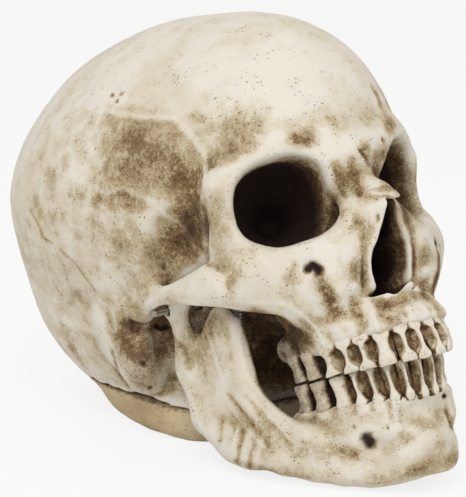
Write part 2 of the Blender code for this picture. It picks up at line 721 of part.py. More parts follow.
def least_gap(points):
    """Smallest free space between a spring's curls, measured on its points."""
    spots = np.array(points)
    apart = CURL_POINTS - 2
    least = math.inf
    for index in range(len(spots) - apart):
        rest = np.linalg.norm(spots[index + apart:] - spots[index], axis=1)
        least = min(least, rest.min())
    return least - 2 * WIRE_RADIUS


def spring(name, side):
    """A coil spring as one unbroken wire with closed ends."""
    points = spring_points(side)
    print(name, "least gap between curls in mm:", round(least_gap(points) * 1000, 2))
    curve = bpy.data.curves.new(name, "CURVE")
    curve.dimensions = "3D"
    curve.bevel_depth = WIRE_RADIUS
    curve.bevel_resolution = 1
    curve.use_fill_caps = True
    line = curve.splines.new("POLY")
    line.points.add(len(points) - 1)
    for point, spot in zip(line.points, points):
        point.co = (*spot, 1)
    piece = bpy.data.objects.new(name, curve)
    bpy.context.scene.collection.objects.link(piece)
    return piece


def tooth_frame(path, share):
    """Place and outward direction on a tooth row at a share of its length."""
    along = row_lengths(path)
    spot = share * along[-1]
    x = np.interp(spot, along, path[:, 0])
    y = np.interp(spot, along, path[:, 1])
    span = along[-1] * TANGENT_SHARE
    ahead = np.array([np.interp(spot + span, along, path[:, 0]), np.interp(spot + span, along, path[:, 1])])
    behind = np.array([np.interp(max(spot - span, 0), along, path[:, 0]),
                       np.interp(max(spot - span, 0), along, path[:, 1])])
    run = (ahead - behind) / np.linalg.norm(ahead - behind)
    return np.array([x, y]), run, np.array([run[1], -run[0]])


def tooth_width(path, shares, index):
    """Width of a tooth so that it clears both neighbours."""
    length = row_lengths(path)[-1]
    before = shares[index] - shares[index - 1] if index else 2 * shares[0]
    after = shares[index + 1] - shares[index] if index + 1 < len(shares) else before
    return min(before, after) * length - TOOTH_CLEARANCE


def tooth_levels(upper, path, share):
    """Heights of the gum and of the biting edge at a share of the row."""
    edge = UPPER_EDGE_FRONT + share * (UPPER_EDGE_BACK - UPPER_EDGE_FRONT)
    if upper:
        return -UPPER_GUM, -edge
    along = row_lengths(path)
    gum = np.interp(share * along[-1], along, lower_gum(path))
    return gum, -edge - BITE_GAP


def ring(bm, centre, run, out, height, width, depth):
    """A rounded ring of a tooth."""
    verts = []
    for step in range(TOOTH_SIDES):
        angle = math.tau * (step + 0.5) / TOOTH_SIDES
        along = math.copysign(abs(math.cos(angle)) ** TOOTH_ROUNDNESS_SHARE, math.cos(angle)) * width / 2
        across = math.copysign(abs(math.sin(angle)) ** TOOTH_ROUNDNESS_SHARE, math.sin(angle)) * depth / 2
        spot = centre + run * along + out * across
        verts.append(bm.verts.new((spot[0], spot[1], height)))
    return verts


def loft(bm, rings):
    """Skins a stack of rings and closes both ends."""
    for lower, upper in zip(rings[:-1], rings[1:]):
        for step in range(len(lower)):
            after = (step + 1) % len(lower)
            bm.faces.new((lower[step], lower[after], upper[after], upper[step]))
    bm.faces.new(rings[0][::-1])
    bm.faces.new(rings[-1])


def tooth_rings(bm, upper, index, side, swell):
    """Root, neck, belly and edge rings of a tooth; swell gives its socket instead."""
    path = plan(UPPER_ARCH_SHARES if upper else LOWER_ARCH_SHARES)
    shares = UPPER_PLACE_SHARES if upper else LOWER_PLACE_SHARES
    centre, run, out = tooth_frame(path, shares[index])
    width = tooth_width(path, shares, index)
    gum, edge = tooth_levels(upper, path, shares[index])
    inward = 1 if upper else -1
    neck_width = width * NECK_WIDTH_SHARE
    neck_depth = NECK_DEPTHS[index]
    tip_width = neck_width * ROOT_TIP_SHARE
    tip_depth = neck_depth * ROOT_TIP_SHARE
    neck = gum - inward * NECK_LENGTH
    flare = FLARES[index] if upper else 0
    rows = [(gum + inward * (ROOT_LENGTH + swell), tip_width, tip_depth, 0), (gum, neck_width, neck_depth, 0)]
    if swell:
        rows.append((gum - inward * OVERRUN, neck_width, neck_depth, 0))
    else:
        belly = neck + (edge - neck) * BELLY_HEIGHT_SHARE
        rows.append((neck, neck_width, neck_depth, 0))
        rows.append((belly, width * BELLY_WIDTH_SHARE, max(neck_depth, EDGE_DEPTHS[index]),
                     flare * BELLY_HEIGHT_SHARE))
        rows.append((edge, width * BELLY_WIDTH_SHARE, EDGE_DEPTHS[index], flare))
    flip = np.array([side, 1])
    return [ring(bm, (centre + out * lean) * flip, run * flip, out * flip, height, wide + 2 * swell,
                 deep + 2 * swell)
            for height, wide, deep, lean in rows]


def tooth(name, upper, index, side):
    """One tooth as a closed body in its standing place."""
    bm = bmesh.new()
    loft(bm, tooth_rings(bm, upper, index, side, 0.0))
    bmesh.ops.recalc_face_normals(bm, faces=bm.faces[:])
    return raise_up(new_object(name, bm))


def sockets(upper):
    """All sockets of a jaw as separate closed bodies in one cutter."""
    bm = bmesh.new()
    for side in (-1, 1):
        for index in range(len(TOOTH_NAMES)):
            loft(bm, tooth_rings(bm, upper, index, side, GAP))
    bmesh.ops.recalc_face_normals(bm, faces=bm.faces[:])
    return raise_up(new_object("sockets", bm))


def cavity():
    """The hollow of the casting."""
    centre, radii = CAVITY_SHARES
    bm = bmesh.new()
    bmesh.ops.create_uvsphere(bm, u_segments=CAVITY_SEGMENTS, v_segments=CAVITY_RINGS, radius=1.0)
    size = np.array(radii) * VAULT - CAST_WALL
    place = Matrix.Translation(np.array(centre) * VAULT) @ Matrix.Diagonal((*size, 1))
    bmesh.ops.transform(bm, matrix=place, verts=bm.verts[:])
    return raise_up(new_object("cavity", bm))


def foramen():
    """The round way from the hollow down to the base panel."""
    top = EAR_HEIGHT + FORAMEN_RADIUS
    profile = ((0, 0), (FORAMEN_RADIUS, 0), (FORAMEN_RADIUS, top), (0, top))
    body = turned("foramen", profile, 2 * CUTTER_SIDES)
    body.data.transform(Matrix.Translation((0, PANEL_BACK + EAR_SETBACK, 0)))
    return body


def castings():
    """Cranium and base panel, parted at the seam, and the lower jaw."""
    steps = cranium_steps()
    cranium = raise_up(thin_out(settle(rough_form("cranium", steps), steps), CRANIUM_FACES))
    panel = bpy.data.objects.new("skull_base", cranium.data.copy())
    bpy.context.scene.collection.objects.link(panel)
    keep_side(cranium, SEAM_HEIGHT, True)
    keep_side(panel, SEAM_HEIGHT - GAP, False)
    keep_side(panel, 0, True)
    steps = mandible_steps()
    mandible = raise_up(thin_out(settle(rough_form("mandible", steps), steps), MANDIBLE_FACES))
    return cranium, panel, mandible


def fit(cranium, mandible):
    """Cuts the hollow, the sockets and the bores for pins and screws."""
    subtract(cranium, cavity())
    subtract(cranium, foramen())
    subtract(cranium, sockets(True))
    subtract(mandible, sockets(False))
    for side in (-1, 1):
        subtract(cranium, pin_body("bore", side, PIN_RADIUS + GAP, PIN_INNER - GAP, PIN_OUTER + GAP))
        subtract(mandible, pin_body("bore", side, PIN_RADIUS + GAP, PIN_INNER, PIN_OUTER))
        subtract(cranium, screw_body("bore", side, True, GAP))
        subtract(mandible, screw_body("bore", side, False, GAP))


def finish(piece, material):
    """Gives a piece its material and smooth shading."""
    piece.data.materials.clear()
    piece.data.materials.append(material)
    if piece.type == "MESH":
        piece.data.shade_smooth()
        piece.data.set_sharp_from_angle(angle=SHARP_ANGLE)


def hang(piece, joint):
    """Puts a piece under the joint's empty without moving it."""
    piece.parent = joint
    piece.matrix_parent_inverse = joint.matrix_world.inverted()


def material(name, look):
    """A plain material from its colour, roughness and metallic."""
    colour, roughness, metallic = look
    made = bpy.data.materials.new(name)
    made.use_nodes = True
    shader = made.node_tree.nodes["Principled BSDF"]
    shader.inputs["Base Color"].default_value = colour
    shader.inputs["Roughness"].default_value = roughness
    shader.inputs["Metallic"].default_value = metallic
    return made


def build():
    """Makes every piece and hangs the jaw on its hinge."""
    for old in list(bpy.data.objects):
        bpy.data.objects.remove(old)
    cranium, panel, mandible = castings()
    fit(cranium, mandible)
    depth, height = hinge_point()
    joint = bpy.data.objects.new("jaw_hinge", None)
    joint.location = (0, depth, height)
    bpy.context.scene.collection.objects.link(joint)
    bpy.context.view_layer.update()
    finish(cranium, material("cranium_cast", BONE))
    finish(panel, material("base_cast", TAN))
    finish(mandible, material("mandible_cast", BONE))
    hang(mandible, joint)
    for side, word in ((-1, "right"), (1, "left")):
        for upper, row in ((True, "upper"), (False, "lower")):
            for index, kind in enumerate(TOOTH_NAMES):
                name = f"{row}_{word}_{kind}"
                piece = tooth(name, upper, index, side)
                finish(piece, material(name + "_enamel", ENAMEL))
                if not upper:
                    hang(piece, joint)
        pin = pin_body(f"{word}_jaw_pin", side, PIN_RADIUS, PIN_INNER, PIN_OUTER)
        finish(pin, material(f"{word}_pin_steel", STEEL))
        coil = spring(f"{word}_jaw_spring", side)
        finish(coil, material(f"{word}_spring_steel", STEEL))
        for upper, row in ((True, "upper"), (False, "lower")):
            screw = screw_body(f"{word}_{row}_spring_screw", side, upper)
            finish(screw, material(f"{word}_{row}_screw_steel", STEEL))
            if not upper:
                hang(screw, joint)


build()
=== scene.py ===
"""An anatomical skull model in aged cast resin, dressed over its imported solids.

The castings are copied from the solids, made fine, and carved and washed with
strokes that are laid out in the camera's view of 466 by 497 marks. The teeth and
springs are modelled anew on the places that the solids give them. The pins and
the screws are the solids themselves, in steel.
"""

import json
import logging
import math
from collections.abc import Iterator
from dataclasses import dataclass
from enum import Enum

import bmesh
import bpy
import numpy as np
from mathutils import Matrix, Vector
from mathutils.bvhtree import BVHTree

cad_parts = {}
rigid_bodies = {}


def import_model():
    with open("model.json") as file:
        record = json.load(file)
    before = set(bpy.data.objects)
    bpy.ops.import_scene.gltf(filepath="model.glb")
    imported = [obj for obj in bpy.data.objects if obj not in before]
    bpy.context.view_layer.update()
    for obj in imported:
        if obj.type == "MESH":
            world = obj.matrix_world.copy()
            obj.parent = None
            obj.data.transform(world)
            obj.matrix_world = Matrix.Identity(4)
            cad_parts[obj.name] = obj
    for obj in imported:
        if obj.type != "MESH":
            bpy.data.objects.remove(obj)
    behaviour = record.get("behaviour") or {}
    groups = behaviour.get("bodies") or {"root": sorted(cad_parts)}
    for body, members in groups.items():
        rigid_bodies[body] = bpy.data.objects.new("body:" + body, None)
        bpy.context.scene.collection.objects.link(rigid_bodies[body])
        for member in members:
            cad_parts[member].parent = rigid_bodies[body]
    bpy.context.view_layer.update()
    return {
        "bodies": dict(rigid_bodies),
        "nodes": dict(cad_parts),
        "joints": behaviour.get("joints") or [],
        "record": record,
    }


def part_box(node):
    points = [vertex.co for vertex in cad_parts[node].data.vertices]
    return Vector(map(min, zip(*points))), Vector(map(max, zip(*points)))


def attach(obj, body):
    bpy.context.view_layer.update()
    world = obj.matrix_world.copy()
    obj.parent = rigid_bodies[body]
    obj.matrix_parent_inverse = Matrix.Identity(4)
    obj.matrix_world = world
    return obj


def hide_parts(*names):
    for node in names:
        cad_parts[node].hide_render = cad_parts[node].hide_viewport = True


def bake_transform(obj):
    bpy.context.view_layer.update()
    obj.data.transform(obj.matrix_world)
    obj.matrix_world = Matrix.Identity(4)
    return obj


LOG = logging.getLogger("skull_model")

MM = 0.001
TINY = 1e-9
LEAN = math.radians(25.5)
TILT = np.array(Matrix.Rotation(LEAN, 3, "X"))
EAR = Vector((0.0, 0.0011, 0.0597))
PRIMES = (73856093, 19349663, 83492791)
WORD = 0xFFFFFFFF

Span = tuple[float, float]
Mark = tuple[float, float]
Spot = tuple[float, float, float]
Colour = tuple[float, float, float]
Table = tuple[tuple[float, ...], tuple[float, ...]]
Socket = bpy.types.NodeSocket


class Side(Enum):
    """The two sides of the skull, with the sign of their X."""

    RIGHT = -1
    LEFT = 1


class Row(Enum):
    """The two rows of teeth, with the direction in which their teeth grow."""

    UPPER = -1
    LOWER = 1


class Profile(Enum):
    """Cross-sections that a stroke of the carving tool can have."""

    ROUND = "round"
    SHARP = "sharp"


class WashAndShade(Enum):
    """Names of the point attributes that the finishes read: brown wash that also lays painted shade, dark paint
    that is mostly painted shade with some mottling on the teeth, and worn paleness.
    """

    BROWN = "wash"
    DARK = "dark"
    WORN = "worn"


def srgb(red: float, green: float, blue: float) -> Colour:
    """Turns display values from 0 to 255 into linear ones.

    Args:
        red: Display red.
        green: Display green.
        blue: Display blue.

    Returns:
        The linear colour.
    """
    return tuple((((value / 255) + 0.055) / 1.055) ** 2.4 if value > 10 else value / 3294
                 for value in (red, green, blue))


def smooth_step(values: np.ndarray, low: float, high: float) -> np.ndarray:
    """A soft step from 0 at low to 1 at high.

    Args:
        values: The values to map.
        low: Where the step starts.
        high: Where the step ends.

    Returns:
        The stepped values.
    """
    share = np.clip((values - low) / (high - low), 0, 1)
    return share * share * (3 - 2 * share)


def grain(points: np.ndarray, size: float, seed: int) -> np.ndarray:
    """Soft random relief, the same in every run.

    Args:
        points: Places in metres, one row each.
        size: Width of a lump in metres.
        seed: Which relief.

    Returns:
        A value from -1 to 1 for each place.
    """
    spot = points / size + seed * 19.37
    cell = np.floor(spot).astype(np.int64)
    share = smooth_step(spot - cell, 0, 1)
    total = np.zeros(len(points))
    for corner in range(8):
        offset = np.array([corner & 1, corner >> 1 & 1, corner >> 2 & 1])
        across, back, up = ((cell + offset) * PRIMES).T
        mixed = (across ^ back ^ up ^ seed * 2654435761) & WORD
        mixed = (mixed ^ mixed >> 15) * 2246822519 & WORD
        mixed = (mixed ^ mixed >> 13) & WORD
        weight = np.where(offset == 1, share, 1 - share).prod(1)
        total += weight * (mixed / WORD)
    return total * 2 - 1


def layered(points: np.ndarray, *layers: tuple[float, int, float]) -> np.ndarray:
    """Several grains on top of each other.

    Args:
        points: Places in metres, one row each.
        layers: Each one's lump width in millimetres, seed and height.

    Returns:
        The sum for each place.
    """
    return sum(grain(points, size * MM, seed) * height for size, seed, height in layers)


def bell(places: np.ndarray, centre: np.ndarray, radii: Spot) -> np.ndarray:
    """Soft weights around a place, 1 in its middle.

    Args:
        places: The places, one row each.
        centre: The middle.
        radii: How far it reaches along each axis.

    Returns:
        A weight for each place.
    """
    return np.exp(-(((places - centre) / np.array(radii)) ** 2).sum(1))


def to_stand(x: float, y: float, z: float) -> Vector:
    """Standing place of a point of the upright skull, in millimetres from the ear line.

    Args:
        x: Towards the skull's left.
        y: Towards its back.
        z: Up.

    Returns:
        The place in metres.
    """
    return Matrix.Rotation(-LEAN, 3, "X") @ Vector((x, y, z)) * MM + EAR


def upright(points: np.ndarray) -> np.ndarray:
    """Places in the upright skull of standing points, in millimetres from the ear line.

    Args:
        points: Standing points, one row each.

    Returns:
        The upright places, one row each.
    """
    return (points - np.array(EAR)) @ TILT.T / MM


def read_items(items: bpy.types.bpy_prop_collection, name: str, width: int, kind: type) -> np.ndarray:
    """Reads one property of all items of a mesh.

    Args:
        items: The mesh's vertices, edges or normals.
        name: The property.
        width: How many values each item has.
        kind: The type of the values.

    Returns:
        One row for each item.
    """
    values = np.empty(len(items) * width, kind)
    items.foreach_get(name, values)
    return values.reshape(-1, width)


def link_mesh(name: str, bm: bmesh.types.BMesh) -> bpy.types.Object:
    """Makes an object of a finished bmesh.

    Args:
        name: The object's name.
        bm: The mesh; it is freed.

    Returns:
        The object.
    """
    mesh = bpy.data.meshes.new(name)
    bm.to_mesh(mesh)
    bm.free()
    piece = bpy.data.objects.new(name, mesh)
    bpy.context.scene.collection.objects.link(piece)
    return piece


def bake(piece: bpy.types.Object) -> None:
    """Replaces a piece's mesh by what its modifiers make of it.

    Args:
        piece: The piece.
    """
    bpy.context.view_layer.update()
    graph = bpy.context.evaluated_depsgraph_get()
    mesh = bpy.data.meshes.new_from_object(piece.evaluated_get(graph))
    piece.modifiers.clear()
    old = piece.data
    piece.data = mesh
    bpy.data.meshes.remove(old)


def subdivide(piece: bpy.types.Object, levels: int, scheme: str = "CATMULL_CLARK") -> None:
    """Gives a piece a subdivision modifier.

    Args:
        piece: The piece.
        levels: How often each face is cut.
        scheme: Whether the form is rounded or only cut.
    """
    rounded = piece.modifiers.new("rounded", "SUBSURF")
    rounded.subdivision_type = scheme
    rounded.levels = levels
    rounded.render_levels = levels


def open_edges(bm: bmesh.types.BMesh) -> list[bmesh.types.BMEdge]:
    """Finds the edges where a mesh is open.

    Args:
        bm: The mesh.

    Returns:
        The edges.
    """
    return [edge for edge in bm.edges if edge.is_boundary]


def close_holes(bm: bmesh.types.BMesh) -> list[bmesh.types.BMFace]:
    """Closes all holes of a mesh.

    Args:
        bm: The mesh.

    Returns:
        The new faces.
    """
    return bmesh.ops.holes_fill(bm, edges=open_edges(bm), sides=0)["faces"]


def face_out(bm: bmesh.types.BMesh) -> None:
    """Turns the faces of a closed mesh outwards.

    Args:
        bm: The mesh.
    """
    bmesh.ops.recalc_face_normals(bm, faces=bm.faces[:])
    if bm.calc_volume(signed=True) < 0:
        bmesh.ops.reverse_faces(bm, faces=bm.faces[:])


def dress(piece: bpy.types.Object, finish: bpy.types.Material, slot: str) -> None:
    """Gives a piece its finish and smooth shading.

    Args:
        piece: The piece.
        finish: Its material.
        slot: The record's material slot; not used.
    """
    piece.data.materials.clear()
    piece.data.materials.append(finish)
    piece.data.shade_smooth()


def add_node(tree: bpy.types.NodeTree, kind: str, feeds: dict, output: int | str = 0,
             **settings: str) -> Socket:
    """Adds a shader node.

    Args:
        tree: The node tree.
        kind: The node's type, without its first words.
        feeds: Sockets or plain values for its inputs, by name or number.
        output: Which of its outputs is wanted.
        settings: The node's own settings.

    Returns:
        The output.
    """
    node = tree.nodes.new(f"ShaderNode{kind}")
    for name, setting in settings.items():
        setattr(node, name, setting)
    for place, feed in feeds.items():
        if isinstance(feed, Socket):
            tree.links.new(feed, node.inputs[place])
        else:
            node.inputs[place].default_value = feed
    return node.outputs[output]


def show_camera(tree: bpy.types.NodeTree, lit: Socket, seen: Socket, share: float, output: str) -> None:
    """Shows the camera something else than the light meets.

    Args:
        tree: The node tree.
        lit: What the light meets.
        seen: What the camera sees.
        share: How much of it the camera sees.
        output: The tree's last node.
    """
    camera = add_node(tree, "LightPath", {}, "Is Camera Ray")
    amount = add_node(tree, "Math", {0: camera, 1: share}, operation="MULTIPLY")
    blend = add_node(tree, "MixShader", {0: amount, 1: lit, 2: seen})
    tree.links.new(blend, tree.nodes[output].inputs["Surface"])


@dataclass(frozen=True)
class Viewpoint:
    """The camera, and the rays that lay marks of its view on a surface."""

    azimuth: float = math.radians(-38.2)
    elevation: float = math.radians(14.6)
    roll: float = math.radians(-0.4)
    distance: float = 0.833
    focal_marks: float = 2000.0
    aim: Mark = (252.0, 282.0)
    frame: Mark = (466.0, 497.0)
    sensor: float = 36.0
    clip: Span = (0.05, 20.0)

    def axes(self) -> tuple[Vector, Vector, Vector]:
        """The camera's right, up and backward directions.

        Returns:
            Three unit vectors.
        """
        back = Vector((math.sin(self.azimuth) * math.cos(self.elevation),
                       -math.cos(self.azimuth) * math.cos(self.elevation),
                       math.sin(self.elevation)))
        right = Vector((math.cos(self.azimuth), math.sin(self.azimuth), 0.0))
        up = back.cross(right)
        turned_right = right * math.cos(self.roll) + up * math.sin(self.roll)
        turned_up = up * math.cos(self.roll) - right * math.sin(self.roll)
        return turned_right, turned_up, back

    def ray(self, mark: Mark) -> tuple[Vector, Vector]:
        """The line of sight through a mark.

        Args:
            mark: Place in the view, from its top left corner.

        Returns:
            The eye and the direction.
        """
        right, up, back = self.axes()
        across = (mark[0] - self.aim[0]) / self.focal_marks
        down = (mark[1] - self.aim[1]) / self.focal_marks
        return EAR + back * self.distance, (right * across - up * down - back).normalized()

    def project(self, points: np.ndarray) -> np.ndarray:
        """Finds where points show in the view.

        Args:
            points: Points in metres.

        Returns:
            Their marks.
        """
        right, up, back = (np.array(axis) for axis in self.axes())
        offset = points - np.array(EAR) - back * self.distance
        scale = self.focal_marks / -(offset @ back)
        return np.stack((self.aim[0] + offset @ right * scale, self.aim[1] - offset @ up * scale), 1)

    def make(self) -> bpy.types.Object:
        """Makes the camera.

        Returns:
            The camera's object.
        """
        right, up, back = self.axes()
        data = bpy.data.cameras.new("view")
        data.sensor_fit = "VERTICAL"
        data.sensor_height = self.sensor
        data.lens = self.focal_marks / self.frame[1] * self.sensor
        data.shift_x = (self.frame[0] / 2 - self.aim[0]) / self.frame[1]
        data.shift_y = (self.aim[1] - self.frame[1] / 2) / self.frame[1]
        data.clip_start, data.clip_end = self.clip
        camera = bpy.data.objects.new("view", data)
        place = Matrix((right, up, back)).transposed().to_4x4()
        place.translation = EAR + back * self.distance
        camera.matrix_world = place
        bpy.context.scene.collection.objects.link(camera)
        bpy.context.scene.camera = camera
        return camera


@dataclass(frozen=True)
class Lamp:
    """A soft lamp that faces the skull; power in watts, width in metres."""

    name: str
    place: Spot
    power: float
    width: float
    aim: Spot = (0.0, 0.0, 0.08)

    def make(self) -> None:
        """Hangs the lamp."""
        data = bpy.data.lights.new(self.name, "AREA")
        data.energy = self.power
        data.size = self.width
        lamp = bpy.data.objects.new(self.name, data)
        turn = (Vector(self.aim) - Vector(self.place)).to_track_quat("-Z", "Y")
        lamp.matrix_world = Matrix.Translation(self.place) @ turn.to_matrix().to_4x4()
        bpy.context.scene.collection.objects.link(lamp)


@dataclass(frozen=True)
class Studio:
    """Pale floor, soft lamps and an even world."""

    floor_half: float = 3.0
    floor_drop: float = 0.1 * MM
    floor_white: float = 0.86
    floor_roughness: float = 0.9
    floor_glow: float = 0.82
    world_tint: Colour = (1.0, 0.985, 0.96)
    world_level: float = 0.62
    lamps: tuple[Lamp, ...] = (Lamp("key_lamp", (-0.75, -0.55, 1.25), 9.0, 0.9),
                               Lamp("fill_lamp", (0.55, -1.25, 0.55), 2.2, 1.4))

    def make(self) -> None:
        """Makes the floor, the world and the lamps."""
        self.make_floor()
        self.make_world()
        for lamp in self.lamps:
            lamp.make()

    def make_floor(self) -> None:
        """Makes the floor, white to the eye and marked by soft shade."""
        bm = bmesh.new()
        bmesh.ops.create_grid(bm, x_segments=1, y_segments=1, size=self.floor_half)
        bmesh.ops.translate(bm, verts=bm.verts[:], vec=(0.0, 0.0, -self.floor_drop))
        floor = link_mesh("floor", bm)
        paint = bpy.data.materials.new("floor_paint")
        paint.use_nodes = True
        tree = paint.node_tree
        shader = tree.nodes["Principled BSDF"]
        shader.inputs["Base Color"].default_value = (self.floor_white, self.floor_white, self.floor_white, 1.0)
        shader.inputs["Roughness"].default_value = self.floor_roughness
        glow = add_node(tree, "Emission", {"Strength": 1.0})
        show_camera(tree, shader.outputs[0], glow, self.floor_glow, "Material Output")
        floor.data.materials.append(paint)

    def make_world(self) -> None:
        """Makes the even light all round, white to the eye."""
        world = bpy.data.worlds.new("studio")
        bpy.context.scene.world = world
        world.use_nodes = True
        tree = world.node_tree
        light = tree.nodes["Background"]
        light.inputs["Color"].default_value = (*self.world_tint, 1.0)
        light.inputs["Strength"].default_value = self.world_level
        seen = add_node(tree, "Background", {"Color": (1.0, 1.0, 1.0, 1.0), "Strength": 1.0})
        show_camera(tree, light.outputs[0], seen, 1.0, "World Output")


@dataclass(frozen=True)
class Noise:
    """Soft noise: lump width in metres, octaves, strength of the fine ones and offset."""

    size: float
    detail: float
    rough: float
    shift: float = 0.0


@dataclass(frozen=True)
class Dots:
    """Scattered dots: spacing in metres, offset, soft edge, and where and how much they show."""

    size: float
    shift: float
    edge: Span
    patch: Span = (0.0, 1.0)
    amount: float = 1.0


class Shades:
    """Small helper that grows a finish from left to right."""

    noise_drift: Spot = (1.0, 0.7, 0.4)
    dots_drift: Spot = (1.0, 0.3, 0.6)

    def __init__(self, name: str) -> None:
        """Starts an empty finish.

        Args:
            name: The material's name.
        """
        self.material = bpy.data.materials.new(name)
        self.material.use_nodes = True
        self.tree = self.material.node_tree
        self.place = add_node(self.tree, "TexCoord", {}, "Object")

    def attribute(self, wash: WashAndShade) -> Socket:
        """Reads a point attribute.

        Args:
            wash: Which attribute.

        Returns:
            Its value.
        """
        return add_node(self.tree, "Attribute", {}, "Fac", attribute_name=wash.value)

    def moved(self, shift: float, drift: Spot) -> Socket:
        """The piece's own coordinates, moved so that no two textures match.

        Args:
            shift: How far.
            drift: The shares of that along the axes.

        Returns:
            The coordinates.
        """
        location = tuple(shift * share for share in drift)
        return add_node(self.tree, "Mapping", {"Location": location, "Vector": self.place})

    def noise(self, noise: Noise) -> Socket:
        """Makes soft noise on the piece's own coordinates.

        Args:
            noise: Which noise.

        Returns:
            Its value.
        """
        feeds = {"Scale": 1 / noise.size, "Detail": noise.detail, "Roughness": noise.rough,
                 "Vector": self.moved(noise.shift, self.noise_drift)}
        return add_node(self.tree, "TexNoise", feeds, "Fac")

    def dots(self, dots: Dots) -> Socket:
        """Makes scattered dots on the piece's own coordinates.

        Args:
            dots: Which dots.

        Returns:
            1 inside the dots, 0 between them.
        """
        feeds = {"Scale": 1 / dots.size, "Vector": self.moved(dots.shift, self.dots_drift)}
        return self.remap(add_node(self.tree, "TexVoronoi", feeds, "Distance"), dots.edge, (1.0, 0.0))

    def remap(self, value: Socket, span: Span, to: Span = (0.0, 1.0)) -> Socket:
        """Maps a span of values softly on to another one.

        Args:
            value: The value to map.
            span: Start and end of its span.
            to: What they become.

        Returns:
            The mapped value.
        """
        feeds = {"Value": value, "From Min": span[0], "From Max": span[1], "To Min": to[0], "To Max": to[1]}
        return add_node(self.tree, "MapRange", feeds, interpolation_type="SMOOTHSTEP")

    def sum(self, operation: str, first: Socket, second: Socket | float) -> Socket:
        """Works out a sum.

        Args:
            operation: Which sum, by its node name.
            first: First value.
            second: Second value or a plain number.

        Returns:
            The result.
        """
        return add_node(self.tree, "Math", {0: first, 1: second}, operation=operation)

    def mix(self, share: Socket, first: Socket | Colour, second: Colour) -> Socket:
        """Mixes two colours.

        Args:
            share: How much of the second colour.
            first: First colour.
            second: Second colour.

        Returns:
            The mixed colour.
        """
        start = (*first, 1.0) if isinstance(first, tuple) else first
        return add_node(self.tree, "Mix", {0: share, 6: start, 7: (*second, 1.0)}, 2, data_type="RGBA")

    def relief(self, height: Socket, depth: float, under: Socket | None = None) -> Socket:
        """Turns a height into relief.

        Args:
            height: The height, from 0 to 1.
            depth: How deep 1 is, in metres.
            under: Relief that lies below this one.

        Returns:
            The relief's normal.
        """
        feeds = {"Distance": depth, "Strength": 1.0, "Height": height}
        if under is not None:
            feeds["Normal"] = under
        return add_node(self.tree, "Bump", feeds)

    def finish(self, colour: Socket, roughness: Socket, relief: Socket, specular: float = 0.5,
               metallic: float = 0.0) -> bpy.types.Material:
        """Puts the finish together.

        Args:
            colour: Its colour.
            roughness: Its roughness.
            relief: Its relief.
            specular: Strength of the plain reflection.
            metallic: 1 for a metal.

        Returns:
            The material.
        """
        shader = self.tree.nodes["Principled BSDF"]
        for name, socket in (("Base Color", colour), ("Roughness", roughness), ("Normal", relief)):
            self.tree.links.new(socket, shader.inputs[name])
        shader.inputs["Specular IOR Level"].default_value = specular
        shader.inputs["Metallic"].default_value = metallic
        return self.material


